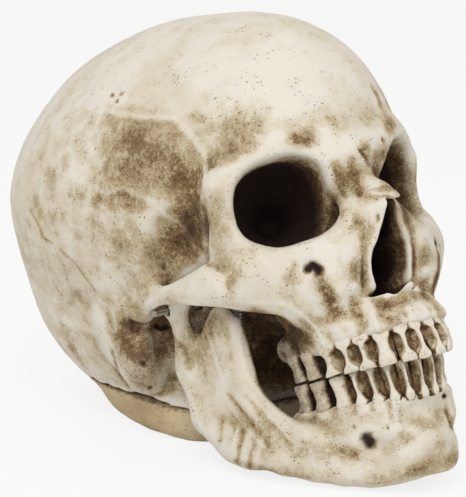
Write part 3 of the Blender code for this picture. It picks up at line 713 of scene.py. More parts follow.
@dataclass(frozen=True)
class BoneFinish:
    """Cast resin painted like old bone: pale crests, brown washes, dark specks, and dark painted shade where the
    dark attribute lies.
    """

    name: str
    pale: Colour = srgb(231, 225, 213)
    cream: Colour = srgb(219, 209, 187)
    tan: Colour = srgb(185, 166, 133)
    brown: Colour = srgb(126, 100, 66)
    umber: Colour = srgb(72, 50, 32)
    shade_black: Colour = srgb(34, 18, 11)
    speck: Colour = srgb(122, 94, 64)
    pit: Colour = srgb(78, 54, 36)
    broad: Noise = Noise(34 * MM, 4.0, 0.6)
    cloudy: Noise = Noise(8 * MM, 5.0, 0.62, 0.31)
    fine: Noise = Noise(1.7 * MM, 4.0, 0.7, 0.77)
    dust: Noise = Noise(0.6 * MM, 2.0, 0.6, 0.53)
    specks: Dots = Dots(1.6 * MM, 0.41, (0.12, 0.22), (0.47, 0.62))
    pits: Dots = Dots(3.4 * MM, 0.13, (0.07, 0.13), (0.48, 0.64), 0.8)
    common: Span = (0.3, 0.7)
    broad_swing: Span = (-0.06, 0.16)
    swings: tuple[Span, ...] = ((0.05, 0.26), (0.01, 0.27), (0.0, 0.27))
    bands: tuple[Span, ...] = ((0.0, 0.2), (0.18, 0.55), (0.5, 1.05), (1.0, 1.7))
    wear: float = 0.7
    soaked_patch: float = 0.16
    dark_edge: tuple[Span, Span] = ((0.2, 0.8), (-0.1, 0.1))
    dark_band: Span = (0.1, 0.85)
    rough_band: Span = (0.1, 0.9)
    roughness: float = 0.62
    rougher: float = 0.2
    specular: float = 0.35
    depths: Spot = (0.6 * MM, 0.25 * MM, -0.14 * MM)

    def make(self) -> bpy.types.Material:
        """Makes the finish.

        Returns:
            The material.
        """
        tree = Shades(self.name)
        wash, dark, worn = (tree.attribute(kind) for kind in WashAndShade)
        cloudy, fine, dust = (tree.noise(noise) for noise in (self.cloudy, self.fine, self.dust))
        soaked = tree.sum("MINIMUM", tree.sum("MAXIMUM", wash, 0.0), 1.0)
        tone = tree.sum("ADD", wash, tree.remap(tree.noise(self.broad), self.common, self.broad_swing))
        for noise, (least, most) in zip((cloudy, fine, dust), self.swings):
            swing = tree.sum("ADD", tree.sum("MULTIPLY", soaked, most), least)
            noise = tree.remap(noise, self.common, (-1.0, 1.0))
            tone = tree.sum("ADD", tone, tree.sum("MULTIPLY", noise, swing))
        colour = self.pale
        for band, shade in zip(self.bands, (self.cream, self.tan, self.brown, self.umber)):
            colour = tree.mix(tree.remap(tone, band), colour, shade)
        colour = tree.mix(tree.sum("MULTIPLY", worn, self.wear), colour, self.pale)
        patchy = tree.sum("ADD", cloudy, tree.sum("MULTIPLY", soaked, self.soaked_patch))
        holes = []
        for dots, shade in ((self.specks, self.speck), (self.pits, self.pit)):
            shown = tree.remap(patchy, dots.patch, (0.0, dots.amount))
            holes.append(tree.sum("MULTIPLY", tree.dots(dots), shown))
            colour = tree.mix(holes[-1], colour, shade)
        # Painted shade: the dark attribute, frayed by fine noise, mixes in the darkest colour.
        deep = tree.sum("ADD", dark, tree.remap(fine, *self.dark_edge))
        colour = tree.mix(tree.remap(deep, self.dark_band), colour, self.shade_black)
        roughness = tree.remap(tone, self.rough_band, (self.roughness, self.roughness + self.rougher))
        relief = None
        for height, depth in zip((cloudy, fine, tree.sum("ADD", *holes)), self.depths):
            relief = tree.relief(height, depth, relief)
        return tree.finish(colour, roughness, relief, self.specular)


@dataclass(frozen=True)
class BaseFinish:
    """Plain tan resin of the base panel, darker in patches and specks, and where its brown paint lies."""

    name: str
    tan: Colour = srgb(214, 194, 157)
    shade: Colour = srgb(186, 162, 124)
    dark_tan: Colour = srgb(96, 74, 50)
    broad: Noise = Noise(26 * MM, 4.0, 0.6)
    fine: Noise = Noise(2.2 * MM, 4.0, 0.6, 0.4)
    specks: Dots = Dots(2.4 * MM, 0.0, (0.1, 0.2))
    speck_share: float = 0.7
    common: Span = (0.3, 0.7)
    shade_band: Span = (0.35, 0.68)
    dark_tan_edge: Span = (-0.2, 0.2)
    dark_tan_band: Span = (0.2, 1.0)
    rough: Span = (0.52, 0.72)
    specular: float = 0.35
    depth: float = 0.15 * MM

    def make(self) -> bpy.types.Material:
        """Makes the finish.

        Returns:
            The material.
        """
        tree = Shades(self.name)
        broad, fine = tree.noise(self.broad), tree.noise(self.fine)
        colour = tree.mix(tree.remap(broad, self.shade_band), self.tan, self.shade)
        dark_tan_share = tree.sum("ADD", tree.attribute(WashAndShade.BROWN), tree.remap(fine, self.common, self.dark_tan_edge))
        colour = tree.mix(tree.remap(dark_tan_share, self.dark_tan_band), colour, self.dark_tan)
        specks = tree.sum("MULTIPLY", tree.dots(self.specks), self.speck_share)
        colour = tree.mix(specks, colour, self.dark_tan)
        return tree.finish(colour, tree.remap(broad, self.common, self.rough), tree.relief(fine, self.depth),
                           self.specular)


@dataclass(frozen=True)
class SteelFinish:
    """Drawn steel with fine streaks."""

    name: str
    bright: Colour = (0.60, 0.59, 0.57)
    dull: Colour = (0.33, 0.31, 0.29)
    streaks: Noise = Noise(0.5 * MM, 3.0, 0.6)
    smudge: Noise = Noise(3 * MM, 3.0, 0.6, 0.2)
    smudge_band: Span = (0.4, 0.7)
    streak_band: Span = (0.3, 0.7)
    rough: Span = (0.24, 0.46)
    depth: float = 0.02 * MM

    def make(self) -> bpy.types.Material:
        """Makes the finish.

        Returns:
            The material.
        """
        tree = Shades(self.name)
        streaks = tree.noise(self.streaks)
        smudge = tree.remap(tree.noise(self.smudge), self.smudge_band)
        return tree.finish(tree.mix(smudge, self.bright, self.dull),
                           tree.remap(streaks, self.streak_band, self.rough),
                           tree.relief(streaks, self.depth), metallic=1.0)


@dataclass(frozen=True)
class Stroke:
    """One stroke of the carving tool over a line of marks.

    The marks are given as across and down in turn. Raise is in millimetres, outward
    positive, and width is half the stroke's width in millimetres. The wash, dark and worn
    fields say how much brown paint, painted shade and worn paleness it leaves, and paint
    how wide, where that isn't the width.
    """

    marks: tuple[float, ...]
    raise_mm: float = 0.0
    width_mm: float = 1.5
    profile: Profile = Profile.ROUND
    wash: float = 0.0
    dark: float = 0.0
    worn: float = 0.0
    paint: float = 0.0
    mirror: bool = True


@dataclass(frozen=True)
class Smudge:
    """A soft cloud over what the camera sees, and over its mirror image.

    Across and down say where it is in the view, wide and high are its radii in marks,
    turn is in degrees, and wash and dark say how much brown paint and painted shade it
    leaves; a negative wash takes paint off.
    """

    across: float
    down: float
    wide: float
    high: float
    turn: float
    wash: float
    dark: float = 0.0
    mirror: bool = True


@dataclass(frozen=True)
class Push:
    """A soft push with the thumb, in upright millimetres.

    The centre and the move are given for the skull's left side, and mirrored.
    """

    centre: Spot
    radii: Spot
    move: Spot
    mirror: bool = True


@dataclass
class Path:
    """A line of points on a surface, with the way out of the surface at each."""

    points: np.ndarray
    normals: np.ndarray

    def flipped(self) -> "Path":
        """The same line on the other side of the skull.

        Returns:
            The mirrored line.
        """
        other = np.array([-1.0, 1.0, 1.0])
        return Path(self.points * other, self.normals * other)


class Carving:
    """A surface under the tools: its points, their normals and their paint."""

    longest_jump = 9 * MM
    same_face = -0.1
    sharpness = 1.6
    fade = (1.8, 2.4)
    brush_reach = 2
    cloud_uneven = 0.35
    cloud_facing = (-0.1, 0.25)
    cloud_wipe = 1.8
    most_paint = 1.5
    ray_lift = 0.3
    skin = ((16, 3, 0.35), (6, 5, 0.14), (2.6, 8, 0.05))

    def __init__(self, piece: bpy.types.Object, view: Viewpoint) -> None:
        """Takes a piece on to the bench.

        Args:
            piece: A mesh object at the origin.
            view: The view that strokes are laid out in.
        """
        self.piece = piece
        self.view = view
        self.edges = read_items(piece.data.edges, "vertices", 2, np.int64)
        self.points = read_items(piece.data.vertices, "co", 3, float)
        count = len(self.points)
        self.valence = np.maximum(np.bincount(self.edges.ravel(), minlength=count), 1).astype(float)
        self.normals = self.read_normals()
        self.paint = {wash: np.zeros(count) for wash in WashAndShade}
        self.tree = self.make_tree()

    def read_normals(self) -> np.ndarray:
        """Reads the points' normals off the mesh.

        Returns:
            One unit vector for each point.
        """
        return read_items(self.piece.data.vertex_normals, "vector", 3, np.float32).astype(float)

    def make_tree(self) -> BVHTree:
        """Makes the search tree of the surface as it is now.

        Returns:
            The tree.
        """
        bm = bmesh.new()
        bm.from_mesh(self.piece.data)
        tree = BVHTree.FromBMesh(bm)
        bm.free()
        return tree

    def put_back(self) -> None:
        """Writes the points to the mesh, and reads the normals again."""
        self.piece.data.vertices.foreach_set("co", self.points.ravel())
        self.piece.data.update()
        self.normals = self.read_normals()

    def mean(self, values: np.ndarray) -> np.ndarray:
        """Mean of the neighbours' values.

        Args:
            values: One row or number for each point.

        Returns:
            The neighbours' mean, in the same form.
        """
        near, far = self.edges[:, 0], self.edges[:, 1]
        count = len(self.valence)
        columns = values.reshape(count, -1)
        total = np.stack([np.bincount(near, columns[far, k], count) + np.bincount(far, columns[near, k], count)
                          for k in range(columns.shape[1])], axis=1)
        return (total / self.valence[:, None]).reshape(values.shape)

    def melt(self, rounds: int, weight: float | np.ndarray = 0.5) -> None:
        """Smooths the surface without pushing back what shrinks.

        Args:
            rounds: How many times.
            weight: How far each point goes towards its neighbours' mean.
        """
        for _ in range(rounds):
            self.points += (self.mean(self.points) - self.points) * weight
        self.put_back()

    def ease(self, centre: Spot, radii: Spot, rounds: int, most: float = 0.6) -> None:
        """Smooths the surface near one place.

        Args:
            centre: The place, in upright millimetres.
            radii: How far it reaches along each axis.
            rounds: How many times.
            most: The weight in its middle.
        """
        self.melt(rounds, bell(upright(self.points), np.array(centre), radii)[:, None] * most)

    def knead(self, pushes: tuple[Push, ...]) -> None:
        """Pushes the surface about in broad soft places.

        Args:
            pushes: The pushes.
        """
        places = upright(self.points)
        moved = np.zeros_like(places)
        for push in pushes:
            for side in Side if push.mirror else (Side.LEFT,):
                flip = np.array([side.value, 1.0, 1.0])
                weight = bell(places, np.array(push.centre) * flip, push.radii)
                weight *= 0.5 if push.centre[0] == 0 else 1.0
                moved += weight[:, None] * np.array(push.move) * flip
        self.points += moved @ TILT * MM
        self.put_back()

    def lay(self, marks: tuple[float, ...], step: float = 1.5) -> list[Path]:
        """Lays a line of marks on the surface.

        Args:
            marks: Corners of the line in the view, across and down in turn.
            step: Spacing of the rays in marks.

        Returns:
            The line's pieces, split where it jumps to another depth.
        """
        corners = np.array(marks, float).reshape(-1, 2)
        if len(corners) == 1:
            corners = np.vstack((corners, corners + 0.1))
        lengths = np.linalg.norm(np.diff(corners, axis=0), axis=1)
        along = np.concatenate(([0.0], np.cumsum(lengths)))
        lines, last = [[]], None
        for spot in np.linspace(0, along[-1], max(2, int(along[-1] / step))):
            eye, direction = self.view.ray(tuple(float(np.interp(spot, along, side)) for side in corners.T))
            place, normal, _, _ = self.tree.ray_cast(eye, direction)
            if place is None or (last is not None and (place - last).length > self.longest_jump):
                lines.append([])
            if place is not None:
                lines[-1].append((tuple(place), tuple(normal)))
            last = place
        return [Path(*np.array(line).transpose(1, 0, 2)) for line in lines if line]

    def drape(self, corners: list[Vector], step: float = 0.8 * MM) -> Path:
        """Drapes a line of points over the surface.

        Args:
            corners: Corners of the line, close above the surface.
            step: Spacing of the draped points.

        Returns:
            The line on the surface.
        """
        points, normals = [], []
        for start, end in zip(corners[:-1], corners[1:]):
            count = max(1, int((end - start).length / step))
            for index in range(count + 1):
                place, normal, _, _ = self.tree.find_nearest(start.lerp(end, index / count))
                points.append(tuple(place))
                normals.append(tuple(normal))
        return Path(np.array(points), np.array(normals))

    def around(self, path: Path, reach: float) -> tuple[np.ndarray, np.ndarray]:
        """Finds the points near a path, on the same face of the wall.

        Args:
            path: The path.
            reach: How far from it, in metres.

        Returns:
            Indices of the points, and their distances.
        """
        low = path.points.min(0) - reach
        high = path.points.max(0) + reach
        index = np.nonzero(((self.points > low) & (self.points < high)).all(1))[0]
        if len(index) == 0:
            return index, np.zeros(0)
        apart = np.linalg.norm(self.points[index, None] - path.points[None], axis=2)
        closest = apart.argmin(1)
        distance = apart[np.arange(len(index)), closest]
        facing = (self.normals[index] * path.normals[closest]).sum(1) > self.same_face
        keep = (distance < reach) & facing
        return index[keep], distance[keep]

    def press(self, path: Path, height: float, width: float, profile: Profile = Profile.ROUND) -> None:
        """Raises or sinks the surface along a path.

        Args:
            path: The path.
            height: How far out, in metres; negative sinks.
            width: Half the width, in metres.
            profile: Cross-section of the stroke.
        """
        index, distance = self.around(path, width * self.fade[1])
        share = distance / width
        form = np.exp(-share ** 2) if profile is Profile.ROUND else np.exp(-share * self.sharpness)
        fade = 1 - smooth_step(share, *self.fade)
        self.points[index] += self.normals[index] * (form * fade * height)[:, None]

    def brush(self, path: Path, wash: WashAndShade, amount: float, width: float) -> None:
        """Paints along a path.

        Args:
            path: The path.
            wash: Which paint.
            amount: How much; negative wipes it off.
            width: Half the width, in metres.
        """
        index, distance = self.around(path, width * self.brush_reach)
        self.paint[wash][index] += np.exp(-(distance / width) ** 2) * amount

    def trace(self, stroke: Stroke) -> Iterator[Path]:
        """Lays a stroke on the surface, on both sides where it asks for it.

        Args:
            stroke: The stroke.

        Yields:
            Its paths.
        """
        for laid in self.lay(stroke.marks):
            yield laid
            if stroke.mirror:
                yield laid.flipped()

    def carve(self, strokes: tuple[Stroke, ...]) -> None:
        """Carves the strokes that raise or sink the surface.

        Args:
            strokes: The strokes.
        """
        for stroke in strokes:
            for path in self.trace(stroke) if stroke.raise_mm else ():
                self.press(path, stroke.raise_mm * MM, stroke.width_mm * MM, stroke.profile)

    def stain(self, strokes: tuple[Stroke, ...]) -> None:
        """Lays the paint of the strokes.

        Args:
            strokes: The strokes.
        """
        for stroke in strokes:
            width = (stroke.paint or stroke.width_mm) * MM
            for path in self.trace(stroke):
                for wash, amount in zip(WashAndShade, (stroke.wash, stroke.dark, stroke.worn)):
                    if amount:
                        self.brush(path, wash, amount, width)

    def cloud(self, smudges: tuple[Smudge, ...]) -> None:
        """Washes soft clouds of brown over the surface; some of them paint shade and one paints light.

        Args:
            smudges: The clouds.
        """
        toward = np.array(self.view.axes()[2])
        uneven = 1 + self.cloud_uneven * grain(self.points, 6 * MM, 91)
        for flip in (np.array([1.0, 1.0, 1.0]), np.array([-1.0, 1.0, 1.0])):
            marks = self.view.project(self.points * flip)
            facing = smooth_step((self.normals * flip) @ toward, *self.cloud_facing) * uneven
            for smudge in smudges:
                if flip[0] < 0 and not smudge.mirror:
                    continue
                cosine, sine = math.cos(math.radians(smudge.turn)), math.sin(math.radians(smudge.turn))
                across, down = (marks - np.array((smudge.across, smudge.down))).T
                share = np.hypot((across * cosine + down * sine) / smudge.wide,
                                 (down * cosine - across * sine) / smudge.high)
                weight = np.exp(-share ** 3) * facing
                self.paint[WashAndShade.WORN] *= 1 - np.clip(weight * smudge.wash * self.cloud_wipe, 0.0, 1.0)
                self.paint[WashAndShade.BROWN] += weight * smudge.wash
                self.paint[WashAndShade.DARK] += weight * smudge.dark

    def weather(self) -> None:
        """Gives the surface the uneven skin of a hand-finished casting."""
        self.points += self.normals * (layered(self.points, *self.skin) * MM)[:, None]

    def hollowness(self, rounds: int) -> np.ndarray:
        """How far each point lies below the mean of its surroundings.

        Args:
            rounds: How wide the surroundings are, in rounds of averaging.

        Returns:
            Depths in metres, positive in hollows.
        """
        mean = self.points.copy()
        for _ in range(rounds):
            mean = self.mean(mean)
        return ((mean - self.points) * self.normals).sum(1)

    def openness(self, rays: int, reach: float) -> np.ndarray:
        """Share of the sky that each point sees.

        Args:
            rays: How many rays each point sends out.
            reach: How far they look, in metres.

        Returns:
            Shares from 0 to 1.
        """
        tree = self.make_tree()
        golden = math.pi * (3 - math.sqrt(5))
        fan = []
        for step in range(rays):
            height = math.sqrt(1 - (step + 0.5) / rays)
            spread = math.sqrt(1 - height * height)
            fan.append((spread * math.cos(step * golden), spread * math.sin(step * golden), height))
        fan = np.array(fan)
        helper = np.where(np.abs(self.normals[:, 2:3]) < 0.9, [[0.0, 0.0, 1.0]], [[1.0, 0.0, 0.0]])
        across = np.cross(self.normals, helper)
        across /= np.linalg.norm(across, axis=1)[:, None] + TINY
        along = np.cross(self.normals, across)
        starts = self.points + self.normals * self.ray_lift * MM
        seen = np.zeros(len(self.points))
        cast = tree.ray_cast
        for flat in fan:
            directions = across * flat[0] + along * flat[1] + self.normals * flat[2]
            for index, (start, direction) in enumerate(zip(starts.tolist(), directions.tolist())):
                if cast(start, direction, reach)[0] is None:
                    seen[index] += 1
        return seen / rays

    def save_paint(self) -> None:
        """Writes the paint to the mesh as point attributes."""
        for wash, values in self.paint.items():
            attribute = self.piece.data.attributes.new(wash.value, "FLOAT", "POINT")
            attribute.data.foreach_set("value", np.clip(values, 0, self.most_paint).astype(np.float32))


@dataclass
class ToothPlace:
    """Where a tooth stands, read off its solid, in upright millimetres.

    Its heights rise, and its middle on the plan is given at each. Run points along
    the row and out towards the cheek.
    """

    node: str
    row: Row
    index: int
    heights: np.ndarray
    centres: np.ndarray
    gum: float
    edge: float
    run: np.ndarray | None = None
    out: np.ndarray | None = None
    width: float = 0.0

    def centre_at(self, height: float | np.ndarray) -> np.ndarray:
        """Middle of the tooth on the plan at a height.

        Args:
            height: The upright height, or several.

        Returns:
            The place on the plan, or a row of them.
        """
        return np.stack([np.interp(height, self.heights, line) for line in self.centres.T], -1)

    def spot(self, along: float, outward: float, height: float) -> Vector:
        """A standing place beside the tooth.

        Args:
            along: Millimetres along the row from the tooth's middle.
            outward: Millimetres towards the cheek.
            height: The upright height.

        Returns:
            The standing place.
        """
        plan = self.centre_at(height) + self.run * along + self.out * outward
        return to_stand(float(plan[0]), float(plan[1]), height)


TOOTH_NAMES = ("central_incisor", "lateral_incisor", "canine", "first_premolar", "second_premolar",
               "first_molar", "second_molar", "third_molar")
MOUTH_MIDDLE = (0.0, -50.0)


def read_rings(solid: bpy.types.Object) -> tuple[np.ndarray, np.ndarray]:
    """Reads the rings that a tooth's solid is made of.

    Args:
        solid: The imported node.

    Returns:
        Heights and middles of the rings, from the lowest up.
    """
    points = upright(read_items(solid.data.vertices, "co", 3, float))
    levels, middles = [], []
    for height in sorted(set(np.round(points[:, 2], 1))):
        if levels and abs(height - levels[-1]) < 0.25:
            continue
        ring = points[np.abs(points[:, 2] - height) < 0.08][:, :2]
        levels.append(height)
        middles.append((ring.min(0) + ring.max(0)) / 2)
    return np.array(levels), np.array(middles)


def read_teeth(frame: dict, row: Row) -> list[ToothPlace]:
    """Reads where the teeth of a row stand.

    Args:
        frame: The loaded frame.
        row: Which row.

    Returns:
        The places of its 16 teeth.
    """
    places = []
    for side in Side:
        half = []
        for index, tooth in enumerate(TOOTH_NAMES):
            node = f"{row.name.lower()}_{side.name.lower()}_{tooth}"
            heights, centres = read_rings(frame["nodes"][node])
            gum, edge = (heights[-2], heights[0]) if row is Row.UPPER else (heights[1], heights[-1])
            half.append(ToothPlace(node, row, index, heights, centres, float(gum), float(edge)))
        gums = np.array([place.centre_at(place.gum) for place in half])
        before = np.vstack((gums[0] * (-1, 1), gums[:-1]))
        after = np.vstack((gums[1:], gums[-1] * 2 - gums[-2]))
        for place, last, here, following in zip(half, before, gums, after):
            run = following - last
            place.run = run / np.linalg.norm(run)
            out = np.array([place.run[1], -place.run[0]])
            place.out = out if out @ (here - np.array(MOUTH_MIDDLE)) > 0 else -out
            place.width = (np.linalg.norm(here - last) + np.linalg.norm(following - here)) / 2
        places += half
    return places


@dataclass(frozen=True)
class Roots:
    """How the roots of the teeth show under the bone, in millimetres.

    The shares of the length are those of the incisors, the canines and the rest.
    """

    length: float
    shares: Spot = (0.8, 1.5, 0.5)
    canine: int = 2
    canine_height: float = 1.0
    height: float = 0.5
    width_share: float = 0.26
    gap_depth: float = -0.4
    gap_share: float = 0.7
    gap_width_share: float = 0.2
    outward: float = 5.5
    start: float = -0.5

    def carve(self, work: Carving, teeth: list[ToothPlace]) -> None:
        """Raises the roots and sinks the bone between them.

        Args:
            work: The jaw's surface.
            teeth: The teeth of the jaw.
        """
        for place in teeth:
            rootward = 1.0 if place.row is Row.UPPER else -1.0
            kind = (place.index >= self.canine) + (place.index > self.canine)
            reach = self.length * self.shares[kind]
            high = self.canine_height if place.index == self.canine else self.height
            for along, steps, raised, share in (
                    (0.0, (self.start, reach * 0.5, reach), high, self.width_share),
                    (place.width / 2, (self.start, reach * self.gap_share), self.gap_depth, self.gap_width_share)):
                line = [place.spot(along, self.outward, place.gum + rootward * step) for step in steps]
                work.press(work.drape(line), raised * MM, place.width * share * MM)


@dataclass(frozen=True)
class PatinaAndShade:
    """How the hollows and crests of a casting take the paint and the painted shade, lengths in metres."""

    sight: float = 16 * MM
    rays: int = 14
    quick_rays: int = 6
    hidden: Span = (0.2, 0.95)
    hidden_brown: float = 0.85
    deepest_shade: Span = (0.74, 1.0)
    deepest_shade_dark: float = 0.6
    small_rounds: int = 4
    small_depth: float = 0.15 * MM
    small_least: float = -0.6
    small_brown: float = 0.24
    wide_rounds: int = 24
    wide_depth: float = 0.9 * MM
    wide_least: float = -0.5
    wide_brown: float = 0.26
    browning_levels: Span = (30.0, 95.0)
    browning: Span = (0.2, 0.02)
    crest: Span = (0.03 * MM, 0.16 * MM)
    crest_worn: float = 0.6

    def settle(self, work: Carving) -> None:
        """Washes the hollows brown, paints shade dark where the surface sees least of the sky, and wears the crests
        pale.

        Args:
            work: The carved and thinned surface.
        """
        seen = work.openness(self.rays, self.sight)
        for _ in range(2):
            seen = work.mean(seen) * 0.5 + seen * 0.5
        small = work.hollowness(self.small_rounds)
        wide = work.hollowness(self.wide_rounds)
        brown = work.paint[WashAndShade.BROWN]
        brown += smooth_step(1 - seen, *self.hidden) * self.hidden_brown
        brown += np.clip(small / self.small_depth, self.small_least, 1) * self.small_brown
        brown += np.clip(wide / self.wide_depth, self.wide_least, 1) * self.wide_brown
        # Browner low on the casting, fading towards the crown.
        brown += np.interp(upright(work.points)[:, 2], self.browning_levels, self.browning)
        # Painted shade: dark paint where the surface sees least of the sky.
        work.paint[WashAndShade.DARK] += smooth_step(1 - seen, *self.deepest_shade) * self.deepest_shade_dark
        work.paint[WashAndShade.WORN] += smooth_step(-small, *self.crest) * self.crest_worn


@dataclass
class Casting:
    """A casting that is copied from its solid, made fine, carved and painted."""

    view: Viewpoint
    node: str
    name: str
    body: str
    slot: str
    voxel: float = 0.9 * MM
    quick_voxel: float = 1.8
    merge: float = 0.01 * MM
    melt_rounds: int = 5
    most_triangles: int = 188000
    patina_and_shade: PatinaAndShade = PatinaAndShade()
    pushes: tuple[Push, ...] = ()
    strokes: tuple[Stroke, ...] = ()
    smudges: tuple[Smudge, ...] = ()
    roots: Roots = Roots(0.0)
    teeth: list[ToothPlace] | tuple = ()

    def close_up(self, bm: bmesh.types.BMesh) -> None:
        """Closes what the eye never reaches; most castings have nothing to close."""

    def make_fine(self, piece: bpy.types.Object) -> None:
        """Rounds the solid's facets and gives it an even, fine mesh.

        Args:
            piece: The copy of the solid.
        """
        subdivide(piece, 2)
        even = piece.modifiers.new("even", "REMESH")
        even.mode = "VOXEL"
        even.voxel_size = self.voxel * 1.0
        bake(piece)

    def thin_out(self, piece: bpy.types.Object) -> None:
        """Takes triangles out where the surface is calm.

        Args:
            piece: The carved piece.
        """
        count = sum(len(face.vertices) - 2 for face in piece.data.polygons)
        if count > self.most_triangles:
            thin = piece.modifiers.new("thin", "DECIMATE")
            thin.ratio = self.most_triangles / count
            bake(piece)

    def form_by_hand(self, work: Carving) -> None:
        """Moves broad forms that aren't plain pushes; only the cranium has any."""

    def paint_by_hand(self, work: Carving) -> None:
        """Paints what isn't a plain stroke; each casting has its own."""

    def settle_paint(self, work: Carving) -> None:
        """Lays the first paint.

        Args:
            work: The carved and thinned surface.
        """
        self.patina_and_shade.settle(work)

    def make(self, frame: dict, finish: bpy.types.Material) -> bpy.types.Object:
        """Makes the casting and puts it in the solid's place.

        Args:
            frame: The loaded frame.
            finish: Its material.

        Returns:
            The finished piece.
        """
        bm = bmesh.new()
        bm.from_mesh(frame["nodes"][self.node].data)
        bmesh.ops.remove_doubles(bm, verts=bm.verts[:], dist=self.merge)
        self.close_up(bm)
        piece = link_mesh(self.name, bm)
        self.make_fine(piece)
        work = Carving(piece, self.view)
        work.melt(self.melt_rounds)
        work.knead(self.pushes)
        self.form_by_hand(work)
        work.tree = work.make_tree()
        work.carve(self.strokes)
        self.roots.carve(work, self.teeth)
        work.melt(1)
        work.weather()
        work.put_back()
        self.thin_out(piece)
        work = Carving(piece, self.view)
        self.settle_paint(work)
        work.stain(self.strokes)
        work.cloud(self.smudges)
        self.paint_by_hand(work)
        work.save_paint()
        dress(piece, finish, self.slot)
        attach(piece, self.body)
        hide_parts(self.node)
        LOG.info("%s: %d faces", self.name, len(piece.data.polygons))
        return piece


SHARP = Profile.SHARP

CRANIUM_PUSHES = (
    Push((9, -91, 21), (7, 9, 7), (0, 4, 0)),
    Push((0, -95, 22), (6, 9, 6), (0, 3, 0)),
    Push((10, -88, 18), (8, 10, 10), (-1, 7, 0), mirror=False),
    Push((0, -97, -30), (26, 9, 5.5), (0, 6, 0)),
    Push((0, -88, -28), (14, 8, 5), (0, 0, 2.4)),
    Push((33, -63, -32), (6, 8, 7), (-3.5, 1, 0)),
    Push((19, -91, -29.5), (8, 9, 5), (-2, 3, -0.5)),
    Push((11, -84, -27.5), (6.5, 9, 6), (-1.5, -2, 3.6)),
    Push((51, -55, 9), (7, 6, 11), (0.5, 9, 0)),
    Push((20, -89, 36), (13, 8, 10), (-1.4, 2.4, 0)),
    Push((54, 19, 95), (26, 42, 26), (-1.5, 0, -1.7)),
    Push((48, 55, 45), (34, 40, 36), (1, 1.6, 0)),
    Push((0, -10, 104), (46, 60, 20), (0, 0, 2.2)),
)

MANDIBLE_PUSHES = (
    Push((4, -90, -73), (24, 8, 7), (0, 4, 0)),
    Push((4, -90, -90), (18, 8, 8), (0, 3.2, 0)),
    Push((54, -18, -65), (9, 16, 12), (-1.8, -0.8, 1)),
)
